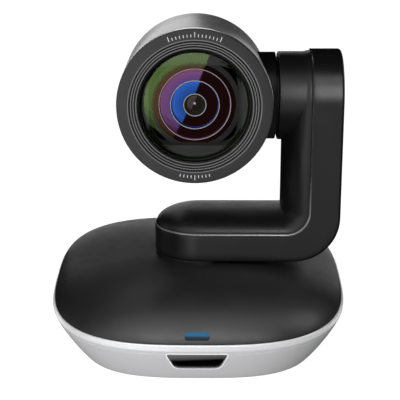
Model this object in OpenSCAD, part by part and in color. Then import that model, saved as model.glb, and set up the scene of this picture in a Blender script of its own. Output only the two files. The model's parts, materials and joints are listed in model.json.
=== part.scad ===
// Motorised pan, tilt and zoom camera: a weighted base, a swinging arm and a tilting head.
// Millimetres. +Z is up and the lens looks along -Y. The origin is on the table, under the pan axis.

/* [Base] */
// Width of the base at its rim
base_w = 131; // [120:1:140]
// Depth of the base at its rim
base_d = 130; // [120:1:140]
// Squareness of the base outline: 2 is an ellipse
plan_power = 3; // [2.6:0.1:3.4]
// Height of the rim above the table, at the pan axis
rim_z = 27.5; // [26:0.5:29]
// Rise of the rim towards the back, per millimetre
rim_slope = 0.131; // [0.08:0.005:0.15]
// Height of the crown of the dark cover
crown_z = 41.6; // [41:0.1:41.7]
// Size of the flat underside against the rim
floor_ratio = 0.79; // [0.75:0.005:0.82]
// Wall of both base shells
base_wall = 2; // [1.6:0.1:2.4]

/* [Arm] */
// Half the front-to-back thickness of the arm
arm_half = 20.6; // [20:0.1:21]
// Height of the underside of the arm
foot_z = 42; // [42:0.1:43]
// Height of the dark band along the foot
foot_band = 13; // [12:0.5:14]
// Thickness of the dark band along the column
column_band = 13.9; // [13:0.1:15]
// Reach of the arm from the pan axis
arm_reach = 62.3; // [60:0.1:64]
// Radius of the outer corner, between foot and column
outer_corner_r = 20; // [16:1:24]
// Radius of the seam between the band and the inner cover
seam_corner_r = 9.8; // [8:0.1:12]
// Bulge of the inner cover above the foot
foot_bulge = 7.7; // [7:0.1:9]
// Bulge of the inner cover inside the column
column_bulge = 11.5; // [11:0.1:12]
// Wall of the arm shells
arm_wall = 1.8; // [1.6:0.1:2]

/* [Head] */
// Height of the tilt axis
tilt_z = 112.9; // [111:0.1:115]
// Outer radius of the head
head_r = 33.2; // [32:0.1:33.5]
// Sideways offset of the lens axis from the pan axis
head_x = -1.3; // [-2:0.1:0]
// Distance from the tilt axis forward to the lens ring's face
head_front = 27.2; // [26:0.1:28]
// Distance from the tilt axis back to the sleeve's rear edge
head_back = 24; // [22:0.5:26]
// Radius of the tilt hub between head and arm
hub_r = 19.1; // [18.5:0.1:19.1]

/* [Gears] */
// Tooth module of both gear pairs
gear_module = 1; // [1:1:1]
// Teeth on the pan gear
pan_teeth = 36; // [36:1:36]
// Teeth on the pan motor's pinion
pan_pinion_teeth = 12; // [12:1:12]
// Teeth on the tilt gear
tilt_teeth = 30; // [30:1:30]
// Teeth on the tilt motor's pinion
tilt_pinion_teeth = 10; // [10:1:10]

/* [Hidden] */
$fn = 64;
eps = 0.01;
rings = 72;
running = 0.05;

// Base surfaces
foot_pad = 0.6;
lip_rho = 0.99;
cover_rho = 0.987;
dome_power = 2.7;
dome_root = 1 / 1.6;
bowl_power = 2 / 1.135;
bowl_steps = 6;
turntable_r = 19;
screw_post = 33;
frame_post = [27, 20];
board_post = [24, 28, 44];
floor_top = foot_pad + base_wall;
ballast_top = floor_top + 3.2;

// Rear connectors
bay_w = 42;
bay_z = [6, 24];
bay_back = 50;
port_z = 15.5;
din_x = -9;
jack_x = 9;
lock_x = 16.8;

// Front windows
ir_z = [8.3, 16.7];
ir_half = [8.8, 12.3];
led_z = [23, 25.6];
led_half = [5.1, 4.6];

// Pan drive
pan_gear_z = [20, 24];
pan_r = gear_module * pan_teeth / 2;
pan_pinion_r = gear_module * pan_pinion_teeth / 2;
pan_motor_x = -(pan_r + pan_pinion_r);
frame_z = [27, 29.5];
race_z = [31, 36];
spindle_r = 7.5;
ball_r = 1.3;
ball_ring_r = 10.1;
race_in_r = 9.3;
race_out_r = 10.9;
housing_r = 13;

// Arm
arm_end_x = arm_half - 19.8;
seam_z = foot_z + foot_band;
seam_x = arm_reach - column_band;
arm_top = tilt_z + arm_half;
barrel_r = 19.4;
barrel_x = 34.9;
plate_x = 50;
frame_foot_z = foot_z + arm_wall;

// Tilt drive
tilt_gear_x = [40, 44];
tilt_r = gear_module * tilt_teeth / 2;
tilt_pinion_r = gear_module * tilt_pinion_teeth / 2;
tilt_motor_z = tilt_z - tilt_r - tilt_pinion_r;
axle_r = 5;
bush_r = 7;
hub_x = [24, 34.3];

// Head
sleeve_front = head_front - 1.7;
sleeve_wall = 1.6;
ring_flat_r = 27.8;
bezel_bore_r = 24.2;
glass_front = 23.8;
glass_t = 1.1;
baffle_t = 1.5;
baffle_size = [38.6, 34.5];
baffle_corner = 7;
barrel_in_r = 17.4;
barrel_out_r = 19.5;
barrel_back = 14;
flange_y = [8.5, 10.5];
rod_x = 13;
rod_r = 1;
lead_z = 13;
lead_r = 1.2;
cell_r = 16.9;
cover_post_r = 27;

charcoal = [0.16, 0.16, 0.17];
black = [0.08, 0.08, 0.09];
silver = [0.76, 0.76, 0.77];
steel = [0.65, 0.66, 0.68];
green_board = [0.1, 0.35, 0.2];
brass = [0.75, 0.6, 0.3];
glass = [0.3, 0.35, 0.6];

// ---- Base outline and surfaces ----

// Radius of the base outline at an angle, drawn in by an inset
function plan_r(angle, inset) = pow(
  pow(abs(cos(angle)) / (base_w / 2 - inset), plan_power)
  + pow(abs(sin(angle)) / (base_d / 2 - inset), plan_power), -1 / plan_power);

// Fraction of the outline at which a point lies
function plan_rho(x, y) = pow(
  pow(abs(x) * 2 / base_w, plan_power) + pow(abs(y) * 2 / base_d, plan_power), 1 / plan_power);

function rim_at(y) = rim_z + rim_slope * y;

// Height of a surface level: 0 is the underside, 1 the rim and 2 the crown
function level_z(level, y) = level <= 1
  ? foot_pad + (rim_at(y) - foot_pad) * level
  : rim_at(y) + (crown_z - rim_at(y)) * (level - 1);

function dome_level(rho) = 1 + pow(1 - pow(rho, dome_power), dome_root);
function dome_z(x, y) = level_z(dome_level(plan_rho(x, y)), y);

// A ring is [fraction of the outline, level, inset, lift]
function dome_ring(rho, wall) = [rho, dome_level(rho), wall, -wall];
function bowl_ring(step, wall) = let (t = 90 * step / bowl_steps)
  [floor_ratio + (1 - floor_ratio) * pow(cos(t), bowl_power), 1 - pow(sin(t), bowl_power),
   wall, wall * sin(t)];

function ring_points(ring) = [
  for (i = [0 : rings - 1])
    let (angle = 360 * i / rings, r = plan_r(angle, ring[2]) * ring[0], y = r * sin(angle))
      [r * cos(angle), y, level_z(ring[1], y) + ring[3]]
];

// Closed solid through a stack of rings, capped at its first and last ring
module ring_solid(stack) {
  last = len(stack) - 1;
  polyhedron(
    points = [for (ring = stack) each ring_points(ring)],
    faces = concat(
      [[for (i = [0 : rings - 1]) i]],
      [for (k = [0 : last - 1], i = [0 : rings - 1])
        let (j = (i + 1) % rings)
          each [[k * rings + i, (k + 1) * rings + i, (k + 1) * rings + j],
                [k * rings + i, (k + 1) * rings + j, k * rings + j]]],
      [[for (i = [rings - 1 : -1 : 0]) last * rings + i]]),
    convexity = 4);
}

dome_rhos = [cover_rho, 0.965, 0.93, 0.88, 0.81, 0.72, 0.61, 0.48, 0.34, 0.2];
function reversed(list) = [for (i = [len(list) - 1 : -1 : 0]) list[i]];

module bowl_solid() {
  ring_solid([for (k = [bowl_steps : -1 : 0]) bowl_ring(k, 0)]);
}

module cover_solid() {
  ring_solid([for (rho = dome_rhos) dome_ring(rho, 0)]);
}

// ---- Shared shapes ----

// Cylinder along +Y from y0 to y1
module y_rod(x, z, y0, y1, r) {
  translate([x, y0, z]) rotate([-90, 0, 0]) cylinder(r = r, h = y1 - y0);
}

// Cylinder along +X from x0 to x1
module x_rod(x0, x1, y, z, r) {
  translate([x0, y, z]) rotate([0, 90, 0]) cylinder(r = r, h = x1 - x0);
}

// Cylinder along +Z from z0 to z1
module z_rod(x, y, z0, z1, r) {
  translate([x, y, z0]) cylinder(r = r, h = z1 - z0);
}

// Box between two corners
module block(low, high) {
  translate(low) cube(high - low);
}

// A side outline in X and Z, given a width along Y
module side_profile(width) {
  translate([0, width / 2, 0]) rotate([90, 0, 0]) linear_extrude(width) children();
}

// Children at the four corners of a rectangle
module four_corners(x, y) {
  for (sx = [-1, 1], sy = [-1, 1]) translate([sx * x, sy * y, 0]) children();
}

// Pan-head screw along Z: the shank hangs down from z, under the head
module screw(z, shank_r, shank_l, head_r, head_h) {
  z_rod(0, 0, z - shank_l, z + head_h / 2, shank_r);
  difference() {
    z_rod(0, 0, z, z + head_h, head_r);
    z_rod(0, 0, z + head_h * 0.5, z + head_h + eps, head_r * 0.45);
  }
}

// Spur gear with stub involute teeth; tooth 0 points along +X
pressure_angle = 25;
backlash_angle = 0.12;
function involute(angle) = tan(angle) * 180 / PI - angle;
function tooth_half(r, teeth) =
  let (pitch = gear_module * teeth / 2, base = pitch * cos(pressure_angle))
    (90 - backlash_angle * 36) / teeth + involute(pressure_angle)
    - involute(acos(min(1, base / r)));
function gear_outline(teeth) =
  let (pitch = gear_module * teeth / 2,
       radii = [pitch - gear_module, max(pitch * cos(pressure_angle), pitch - 0.6 * gear_module),
                pitch, pitch + 0.8 * gear_module],
       halves = [for (r = radii) tooth_half(max(r, pitch * cos(pressure_angle)), teeth)])
    [for (tooth = [0 : teeth - 1]) each concat(
      [for (k = [0 : 3]) radii[k] * [cos(tooth * 360 / teeth - halves[k]),
                                     sin(tooth * 360 / teeth - halves[k])]],
      [for (k = [3 : -1 : 0]) radii[k] * [cos(tooth * 360 / teeth + halves[k]),
                                          sin(tooth * 360 / teeth + halves[k])]])];
module spur_gear(teeth, width) {
  linear_extrude(width) polygon(gear_outline(teeth));
}

// ---- Base ----

// Prism along Y whose face is a trapezoid between two heights
module window_prism(z, half, gap, y0, y1) {
  translate([0, y1, 0]) rotate([90, 0, 0]) linear_extrude(y1 - y0) polygon([
    [-half[0] - gap, z[0] - gap], [half[0] + gap, z[0] - gap],
    [half[1] + gap, z[1] + gap], [-half[1] - gap, z[1] + gap]]);
}

module port_bay(gap) {
  block([-bay_w / 2 - gap, bay_back - 1.6 - gap, bay_z[0] - gap],
        [bay_w / 2 + gap, base_d / 2 + 1, bay_z[1] + gap]);
}

module board_posts() {
  for (sx = [-1, 1], y = [board_post[1], board_post[2]])
    translate([sx * board_post[0], y, 0]) children();
}

module base_lower_shell() {
  color(silver) difference() {
    union() {
      ring_solid(concat(
        [for (k = [bowl_steps : -1 : 0]) bowl_ring(k, 0)],
        [[lip_rho, dome_level(lip_rho), 0, 0]],
        [[lip_rho, dome_level(lip_rho), base_wall, 0]],
        [for (k = [0 : bowl_steps]) bowl_ring(k, base_wall)]));
      four_corners(screw_post, screw_post) z_rod(0, 0, floor_top - 1, 14, 4);
      four_corners(frame_post[0], frame_post[1]) z_rod(0, 0, floor_top - 1, 9, 3.4);
      board_posts() z_rod(0, 0, floor_top - 1, 9, 2.4);
      z_rod(0, 0, floor_top - 1, 5, 7.4);
    }
    four_corners(screw_post, screw_post) {
      z_rod(0, 0, 0, 4, 3.1);
      z_rod(0, 0, 0, 15, 1.6);
    }
    four_corners(frame_post[0], frame_post[1]) z_rod(0, 0, 4, 10, 1.5);
    board_posts() z_rod(0, 0, 4, 10, 1.1);
    z_rod(0, 0, 0, 6, 6);
    port_bay(0.1);
    window_prism(ir_z, ir_half, 0.12, -base_d / 2 - 1, -50);
    foot_channel();
  }
}

// Flat ring that follows the base outline
module plan_ring(rho_out, rho_in, z0, z1) {
  translate([0, 0, z0]) linear_extrude(z1 - z0) difference() {
    outline_at(rho_out);
    outline_at(rho_in);
  }
}

module outline_at(rho) {
  polygon([for (i = [0 : rings - 1])
    let (angle = 360 * i / rings, r = plan_r(angle, 0) * rho) [r * cos(angle), r * sin(angle)]]);
}

// Groove under the floor that holds the rubber foot
module foot_channel() {
  plan_ring(0.77, 0.72, -1, foot_pad + 0.8);
}

module base_top_cover() {
  color(charcoal) difference() {
    union() {
      ring_solid(concat(
        [for (k = [len(dome_rhos) - 1 : -1 : 1]) dome_ring(dome_rhos[k], base_wall)],
        [[cover_rho, dome_level(cover_rho), base_wall, 0]],
        [for (rho = dome_rhos) dome_ring(rho, 0)]));
      for (sx = [-1, 1], sy = [-1, 1])
        z_rod(sx * screw_post, sy * screw_post, 14.1,
              dome_z(screw_post, sy * screw_post) - base_wall / 2, 3.2);
    }
    four_corners(screw_post, screw_post) z_rod(0, 0, 13, 23, 1.45);
    z_rod(0, 0, 30, 50, turntable_r + 0.5);
    window_prism(led_z, led_half, 0.1, -base_d / 2, -48);
  }
}

module rubber_foot() {
  color(black) plan_ring(0.767, 0.723, 0, foot_pad + 0.75);
}

module tripod_bush() {
  color(brass) difference() {
    union() {
      z_rod(0, 0, foot_pad, 10, 5.95);
      z_rod(0, 0, 5.05, 6.6, 7.3);
    }
    z_rod(0, 0, 0, 8.5, 3.175);
  }
}

module ballast_plate() {
  color(steel) difference() {
    translate([0, 0, floor_top + 0.2]) rotate([0, 0, 22.5])
      cylinder(r = 44.4, h = ballast_top - floor_top - 0.2, $fn = 8);
    z_rod(0, 0, 0, 20, 8);
    four_corners(frame_post[0], frame_post[1]) z_rod(0, 0, 0, 20, 3.9);
    board_posts() z_rod(0, 0, 0, 20, 3);
  }
}

module main_board() {
  color(green_board) difference() {
    union() {
      block([-27.5, 24.5, 9], [27.5, 47, 10.6]);
      block([-24, 30, 10.5], [-17.5, 36.5, 11.8]);
      block([16, 33, 10.5], [25, 42, 12]);
      for (x = [-3, 0, 3]) z_rod(x, 27.5, 10.5, 14.5, 1.3);
    }
    board_posts() z_rod(0, 0, 8, 12, 1.3);
  }
}

module board_screws() {
  color(steel) board_posts() screw(10.6, 1.05, 5.5, 1.9, 1.3);
}

module rear_port_panel() {
  color(black) difference() {
    intersection() {
      port_bay(0);
      bowl_solid();
    }
    block([-bay_w / 2 + 1.6, bay_back, bay_z[0] + 1.6],
          [bay_w / 2 - 1.6, base_d, bay_z[1] - 1.6]);
    y_rod(din_x, port_z, bay_back - 3, bay_back + 1, 6.3);
    y_rod(jack_x, port_z, bay_back - 3, bay_back + 1, 4.1);
    block([lock_x - 1.5, bay_back - 3, port_z - 3.5], [lock_x + 1.5, bay_back + 1, port_z + 3.5]);
  }
}

module mini_din_socket() {
  color(black) {
    difference() {
      union() {
        block([din_x - 7, 34, 10.7], [din_x + 7, bay_back - 1.8, 22.2]);
        y_rod(din_x, port_z, bay_back - 2, bay_back + 1.5, 6.2);
      }
      difference() {
        y_rod(din_x, port_z, bay_back - 6, bay_back + 2, 4.9);
        y_rod(din_x, port_z, bay_back - 7, bay_back + 0.5, 3.7);
      }
      for (angle = [0 : 45 : 315])
        y_rod(din_x + 2.2 * cos(angle), port_z + 2.2 * sin(angle), bay_back - 4, bay_back + 2, 0.45);
    }
  }
}

module dc_jack() {
  color(black) {
    difference() {
      union() {
        block([jack_x - 4.5, 35.5, 10.7], [jack_x + 4.5, bay_back - 1.8, 20.2]);
        y_rod(jack_x, port_z, bay_back - 2, bay_back + 1.2, 4);
      }
      y_rod(jack_x, port_z, bay_back - 9, bay_back + 2, 2.85);
    }
    y_rod(jack_x, port_z, bay_back - 10, bay_back, 1);
  }
}

module lock_plate() {
  color(steel) difference() {
    block([lock_x - 2.4, 47.1, 9.5], [lock_x + 2.4, bay_back - 1.7, 21.5]);
    block([lock_x - 1.5, 46, port_z - 3.5], [lock_x + 1.5, bay_back, port_z + 3.5]);
  }
}

module front_board() {
  color(green_board) {
    block([-15, -46.5, floor_top], [15, -45, 26]);
    block([-2, -48, 23.2], [2, -46.4, 25.4]);
  }
}

module ir_receiver() {
  color(black) {
    block([-5, -51.5, 8.5], [5, -46.55, 16]);
    y_rod(0, 12.2, -54.5, -51, 2.8);
  }
}

module ir_window() {
  color(black) intersection() {
    window_prism(ir_z, ir_half, 0, -base_d / 2, -52);
    difference() {
      bowl_solid();
      ring_solid([for (k = [bowl_steps : -1 : 0]) bowl_ring(k, base_wall)]);
    }
  }
}

module led_light_pipe() {
  color("dodgerblue") intersection() {
    window_prism(led_z, led_half, 0, -base_d / 2, -49);
    cover_solid();
  }
}

module pan_frame() {
  color(steel) difference() {
    union() {
      translate([0, 0, frame_z[0]]) linear_extrude(frame_z[1] - frame_z[0]) {
        circle(r = 17);
        for (sy = [-1, 1]) translate([0, sy * frame_post[1]]) square([60, 7], center = true);
        square([22, 40], center = true);
        translate([-17, 0]) square([34, 11], center = true);
      }
      z_rod(0, 0, frame_z[0], race_z[1] + 0.5, 16);
      four_corners(frame_post[0], frame_post[1]) z_rod(0, 0, 9.1, frame_z[1], 3);
    }
    z_rod(0, 0, 20, 40, 12);
    z_rod(0, 0, race_z[0], 40, housing_r);
    z_rod(pan_motor_x, 0, 20, 40, 1.5 + running);
    four_corners(frame_post[0], frame_post[1]) z_rod(0, 0, 5, 40, 1.6);
  }
}

module frame_screws() {
  color(steel) four_corners(frame_post[0], frame_post[1]) screw(frame_z[1], 1.4, 25, 2.7, 2);
}

module base_screws() {
  color(steel) four_corners(screw_post, screw_post)
    mirror([0, 0, 1]) screw(-4, 1.4, 17, 2.8, 2);
}

module pan_motor() {
  color(steel) difference() {
    union() {
      z_rod(pan_motor_x, 0, ballast_top, 17.5, 10);
      z_rod(pan_motor_x, 0, 17, 18.7, 3.5);
    }
    z_rod(pan_motor_x, 0, 11, 20, 1.5 + running);
  }
}

module pan_pinion() {
  color(brass) translate([pan_motor_x, 0, 0]) {
    translate([0, 0, pan_gear_z[0] - 0.3]) rotate([0, 0, 180 / pan_pinion_teeth])
      spur_gear(pan_pinion_teeth, pan_gear_z[1] - pan_gear_z[0] + 0.6);
    z_rod(0, 0, 11.5, frame_z[1], 1.5);
  }
}

// Ring with a ball groove around it
module race(r_in, r_out) {
  difference() {
    z_rod(0, 0, race_z[0], race_z[1], r_out);
    z_rod(0, 0, race_z[0] - 1, race_z[1] + 1, r_in);
    translate([0, 0, (race_z[0] + race_z[1]) / 2])
      rotate_extrude() translate([ball_ring_r, 0]) circle(r = ball_r + running);
  }
}

module pan_outer_race() {
  color(steel) race(race_out_r, housing_r);
}

module pan_bearing_balls() {
  color(steel) for (angle = [0 : 36 : 324])
    rotate([0, 0, angle]) translate([ball_ring_r, 0, (race_z[0] + race_z[1]) / 2])
      sphere(r = ball_r);
}

// ---- Arm ----

module turntable() {
  color(black) difference() {
    union() {
      z_rod(0, 0, 39.8, foot_z, turntable_r);
      z_rod(0, 0, race_z[1], 40, 8.7);
      z_rod(0, 0, 17, 40, spindle_r);
    }
    z_rod(0, 0, 10, 50, 4.5);
    for (angle = [45 : 90 : 315]) rotate([0, 0, angle]) z_rod(13.5, 0, 40.4, 50, 1.45);
  }
}

module pan_inner_race() {
  color(steel) race(spindle_r, race_in_r);
}

module pan_gear() {
  color([0.9, 0.9, 0.86]) difference() {
    union() {
      translate([0, 0, pan_gear_z[0]]) rotate([0, 0, 180])
        spur_gear(pan_teeth, pan_gear_z[1] - pan_gear_z[0]);
      z_rod(0, 0, pan_gear_z[0], 30.9, 9.6);
    }
    z_rod(0, 0, 10, 40, spindle_r);
    for (angle = [0 : 60 : 300]) rotate([0, 0, angle]) z_rod(13, 0, 10, 25, 1.8);
  }
}

module spindle_nut() {
  color(brass) difference() {
    translate([0, 0, 17.3]) cylinder(r = 11, h = 2.6, $fn = 6);
    z_rod(0, 0, 10, 40, spindle_r);
  }
}

// L-shaped side outline of the dark band, drawn in by an inset
module band_outline(inset, open) {
  outer_r = outer_corner_r - inset;
  x1 = arm_reach - inset;
  z0 = foot_z + inset;
  top = arm_top - inset + 5;
  left = -25;
  difference() {
    union() {
      translate([left, z0]) square([x1 - outer_r - left, top - z0]);
      translate([left, z0 + outer_r]) square([x1 - left, top - z0 - outer_r]);
      translate([x1 - outer_r, z0 + outer_r]) circle(r = outer_r);
    }
    difference() {
      translate([left - 1, seam_z + open]) square([seam_x - open - left + 1, top - seam_z + 1]);
      difference() {
        translate([seam_x - open - seam_corner_r, seam_z + open]) square(seam_corner_r);
        translate([seam_x - open - seam_corner_r, seam_z + open + seam_corner_r])
          circle(r = seam_corner_r);
      }
    }
  }
}

// Rounded ends of the arm: a half-round foot and a half-round column top
module arm_envelope(inset) {
  half = arm_half - inset;
  union() {
    z_rod(arm_end_x, 0, foot_z - 1, 80, half);
    block([arm_end_x, -half, foot_z - 1], [arm_reach + 1, half, 80]);
    block([seam_x - 20, -half, 79], [arm_reach + 1, half, tilt_z]);
    x_rod(seam_x - 20, arm_reach + 1, 0, tilt_z, half);
  }
}

module band_solid(inset, open) {
  intersection() {
    side_profile(120) band_outline(inset, open);
    arm_envelope(inset);
  }
}

// Half-round outline, as wide as the arm and as high as a bulge
module bulge_outline(half, height) {
  segments = 24;
  polygon([for (k = [0 : segments])
    [half * cos(180 * k / segments), height * sin(180 * k / segments)]]);
}

// Bulge of the inner cover: a half-round skin over the foot, the column and the tilt barrel
module bulge_solid(inset) {
  half = arm_half - 0.5 - inset;
  lift = inset > 0 ? -1 : 0;
  foot_h = foot_bulge - inset - lift;
  column_h = column_bulge - inset - lift;
  z0 = seam_z + lift;
  // foot, with a quarter-round end over the pan axis
  intersection() {
    hull() {
      translate([arm_end_x, 0, z0]) scale([half, half, foot_h]) sphere(r = 1, $fn = 48);
      translate([seam_x + 1, 0, z0]) rotate([90, 0, 90])
        linear_extrude(1) bulge_outline(half, foot_h);
    }
    block([-30, -30, z0], [seam_x + 5, 30, z0 + 20]);
  }
  // column, up to the tilt axis
  translate([seam_x - lift, 0, z0]) rotate([0, 0, 90])
    linear_extrude(tilt_z - z0) bulge_outline(half, column_h);
  // barrel around the tilt axis
  x_rod(barrel_x + inset, seam_x - lift, 0, tilt_z, barrel_r - inset);
}

module arm_outer_band() {
  color(black) difference() {
    band_solid(0, 0);
    band_solid(arm_wall, 3);
    z_rod(0, 0, 40, 50, 5);
    for (angle = [45 : 90 : 315]) rotate([0, 0, angle]) z_rod(13.5, 0, 40, 50, 1.5);
  }
}

module arm_inner_cover() {
  color(charcoal) difference() {
    union() {
      difference() {
        bulge_solid(0);
        bulge_solid(arm_wall);
      }
      x_rod(barrel_x + 0.5, 39.2, 0, tilt_z, 9);
    }
    band_solid(-0.05, 0.15);
    x_rod(barrel_x - 1, 45, 0, tilt_z, bush_r);
  }
}

module arm_frame() {
  color(steel) difference() {
    union() {
      side_profile(23) polygon([
        [-14, frame_foot_z], [plate_x - 8, frame_foot_z], [plate_x + 2, frame_foot_z + 4.8],
        [plate_x + 2, tilt_z + 4], [plate_x, tilt_z + 4], [plate_x, frame_foot_z + 5.6],
        [plate_x - 7.4, frame_foot_z + 2], [-14, frame_foot_z + 2]]);
      x_rod(46, 54, 0, tilt_z, 9.5);
    }
    x_rod(40, 60, 0, tilt_z, bush_r);
    z_rod(0, 0, 40, 50, 4.5);
    for (angle = [45 : 90 : 315]) rotate([0, 0, angle]) z_rod(13.5, 0, 40, 50, 1.5);
    x_rod(49, 53, 0, tilt_motor_z, 2.5);
    for (z = [62, 74]) x_rod(49, 53, 0, z, 4);
  }
}

module turntable_screws() {
  color(steel) for (angle = [45 : 90 : 315]) rotate([0, 0, angle])
    translate([13.5, 0, 0]) screw(foot_z + arm_wall + 2, 1.4, 5.2, 2.4, 1.6);
}

module tilt_motor() {
  color(steel) difference() {
    union() {
      x_rod(44.7, plate_x - 0.05, 0, tilt_motor_z, 10);
      for (sy = [-1, 1]) block([plate_x - 1.6, sy * 10.5 - 2.5, tilt_motor_z - 4],
                               [plate_x - 0.05, sy * 10.5 + 2.5, tilt_motor_z + 4]);
    }
    x_rod(44, 49, 0, tilt_motor_z, 1.5 + running);
  }
}

module tilt_bushes() {
  color(brass) difference() {
    union() {
      x_rod(barrel_x + 0.1, 39.4, 0, tilt_z, bush_r);
      x_rod(45.6, 54, 0, tilt_z, bush_r);
    }
    x_rod(30, 60, 0, tilt_z, axle_r + running);
  }
}

module arm_ribbon_cable() {
  low = frame_foot_z + 2.3;
  color([0.85, 0.82, 0.75]) side_profile(10) polygon([
    [6, low], [plate_x - 7.5, low], [plate_x - 0.3, low + 3.55], [plate_x - 0.3, 80],
    [plate_x - 0.7, 80], [plate_x - 0.7, low + 3.85], [plate_x - 7.6, low + 0.4], [6, low + 0.4]]);
}

module tilt_pinion() {
  color(brass) union() {
    translate([tilt_gear_x[0] - 0.3, 0, tilt_motor_z]) rotate([0, 90, 0])
      rotate([0, 0, 180 / tilt_pinion_teeth + 180])
        spur_gear(tilt_pinion_teeth, tilt_gear_x[1] - tilt_gear_x[0] + 0.6);
    x_rod(39.4, 48.7, 0, tilt_motor_z, 1.5);
  }
}

// ---- Head ----

// Places children, drawn in the XY plane about Z, onto the lens axis with +Z facing back
module on_lens_axis(y) {
  translate([head_x, y, tilt_z]) rotate([-90, 0, 0]) children();
}

module lens_tube(y0, y1, r_in, r_out) {
  difference() {
    y_rod(head_x, tilt_z, y0, y1, r_out);
    y_rod(head_x, tilt_z, y0 - 1, y1 + 1, r_in);
  }
}

module hub_clearance() {
  x_rod(hub_x[0] - 4, 45, 0, tilt_z, hub_r + 0.2);
}

module head_sleeve() {
  color(silver) difference() {
    lens_tube(-sleeve_front, head_back, head_r - sleeve_wall, head_r);
    hub_clearance();
  }
}

module head_rear_cover() {
  color(black) difference() {
    on_lens_axis(0) rotate_extrude() polygon([
      [0, head_back + 3], [head_r - 3, head_back + 3], [head_r, head_back + 0.8],
      [head_r, head_back + 0.1], [head_r - sleeve_wall - 0.1, head_back + 0.1],
      [head_r - sleeve_wall - 0.1, head_back - 3], [head_r - sleeve_wall - 1.7, head_back - 3],
      [head_r - sleeve_wall - 1.7, head_back + 1], [0, head_back + 1]]);
    for (z = [-9 : 4.5 : 9])
      block([head_x - 14, head_back, tilt_z + z - 0.8], [head_x + 14, head_back + 5, tilt_z + z + 0.8]);
    lens_corners(cover_post_r) y_rod(0, 0, head_back - 2, head_back + 5, 1.6);
    lens_corners(cover_post_r) y_rod(0, 0, head_back + 1.6, head_back + 5, 2.6);
  }
}

// Children at four diagonal places around the lens axis
module lens_corners(radius) {
  for (angle = [45 : 90 : 315])
    translate([head_x + radius * cos(angle), 0, tilt_z + radius * sin(angle)]) children();
}

module lens_bezel() {
  groove_step = (ring_flat_r - bezel_bore_r) / 4;
  groove_points = [for (k = [0 : 3], corner = [0, 1])
    [ring_flat_r - groove_step * (k + corner * 0.55), -head_front + 0.75 * (k + corner)]];
  color(charcoal) on_lens_axis(0) rotate_extrude() polygon(concat(
    [[bezel_bore_r, -20], [bezel_bore_r, -head_front + 3]],
    reversed(groove_points),
    [[head_r, -head_front], [head_r, -sleeve_front - 0.1],
     [head_r - sleeve_wall - 0.1, -sleeve_front - 0.1], [head_r - sleeve_wall - 0.1, -20],
     [head_r - sleeve_wall - 1.7, -20], [head_r - sleeve_wall - 1.7, -23],
     [ring_flat_r - 1.6, -23], [ring_flat_r - 1.6, -20]]));
}

module front_glass() {
  color(glass) y_rod(head_x, tilt_z, -glass_front, -glass_front + glass_t, bezel_bore_r - 0.1);
}

module baffle_opening() {
  w = baffle_size[0];
  h = baffle_size[1];
  square([w - 2 * baffle_corner, h], center = true);
  square([w, h - 2 * baffle_corner], center = true);
  for (sx = [-1, 1], sy = [-1, 1])
    translate([sx * (w / 2 - baffle_corner), sy * (h / 2 - baffle_corner)])
      circle(r = baffle_corner);
}

module lens_baffle() {
  back = -glass_front + glass_t + 0.05;
  color(black) on_lens_axis(back) linear_extrude(baffle_t) difference() {
    circle(r = bezel_bore_r - 0.1);
    baffle_opening();
  }
}

// Lens with two spherical faces and a round edge, turned from its profile
module element(y0, y1, edge_r, front_ball, back_ball) {
  steps = 8;
  front = [for (k = [0 : steps]) let (r = edge_r * k / steps)
    [r, y0 + front_ball - sqrt(front_ball * front_ball - r * r)]];
  back = [for (k = [steps : -1 : 0]) let (r = edge_r * k / steps)
    [r, y1 - back_ball + sqrt(back_ball * back_ball - r * r)]];
  on_lens_axis(0) rotate_extrude() polygon(concat(front, back));
}

module front_lens() {
  color(glass) element(-20.6, -13.6, barrel_in_r - 0.1, 34, 90);
}

module lens_barrel() {
  color(black) difference() {
    union() {
      lens_tube(-20.8, barrel_back, barrel_in_r, barrel_out_r);
      y_rod(head_x, tilt_z, barrel_back - 1.6, barrel_back, barrel_in_r + 0.5);
      lens_tube(-13.5, -12, 11, barrel_in_r + 0.5);
      lens_tube(flange_y[0], flange_y[1], barrel_out_r - 0.5, head_r - sleeve_wall - 0.2);
      lens_corners(cover_post_r) y_rod(0, 0, flange_y[0], head_back + 0.9, 2.8);
    }
    hub_clearance();
    lens_corners(cover_post_r) y_rod(0, 0, 15, head_back + 2, 1.3);
    block([head_x - 4.2, 10, tilt_z - 3.2], [head_x + 4.2, 15, tilt_z + 3.2]);
    for (sx = [-1, 1]) y_rod(head_x + sx * rod_x, tilt_z, -12.6, 15, rod_r);
    for (sz = [-1, 1]) y_rod(head_x, tilt_z + sz * lead_z, 12, 15, lead_r + running);
  }
}

module guide_rods() {
  color(steel) for (sx = [-1, 1])
    y_rod(head_x + sx * rod_x, tilt_z, -12.6, barrel_back, rod_r);
}

module sensor_board() {
  color(green_board) block([head_x - 12, barrel_back + 0.05, tilt_z - 8.5],
                           [head_x + 12, barrel_back + 1.3, tilt_z + 8.5]);
}

module image_sensor() {
  color(black) block([head_x - 4, barrel_back - 1.2, tilt_z - 3],
                     [head_x + 4, barrel_back + 0.05, tilt_z + 3]);
}

module camera_board() {
  color(green_board) {
    block([head_x - 22, 19, tilt_z - 9], [head_x + 22, 20.4, tilt_z + 9]);
    block([head_x - 5, 17.6, tilt_z - 5], [head_x + 5, 19.1, tilt_z + 5]);
    block([head_x - 19, 17.8, tilt_z - 4], [head_x - 11, 19.1, tilt_z + 4]);
    for (sx = [-1, 1], sz = [-1, 1])
      y_rod(head_x + sx * 10.5, tilt_z + sz * 7, barrel_back + 1.35, 19.1, 1.2);
  }
}

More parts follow.
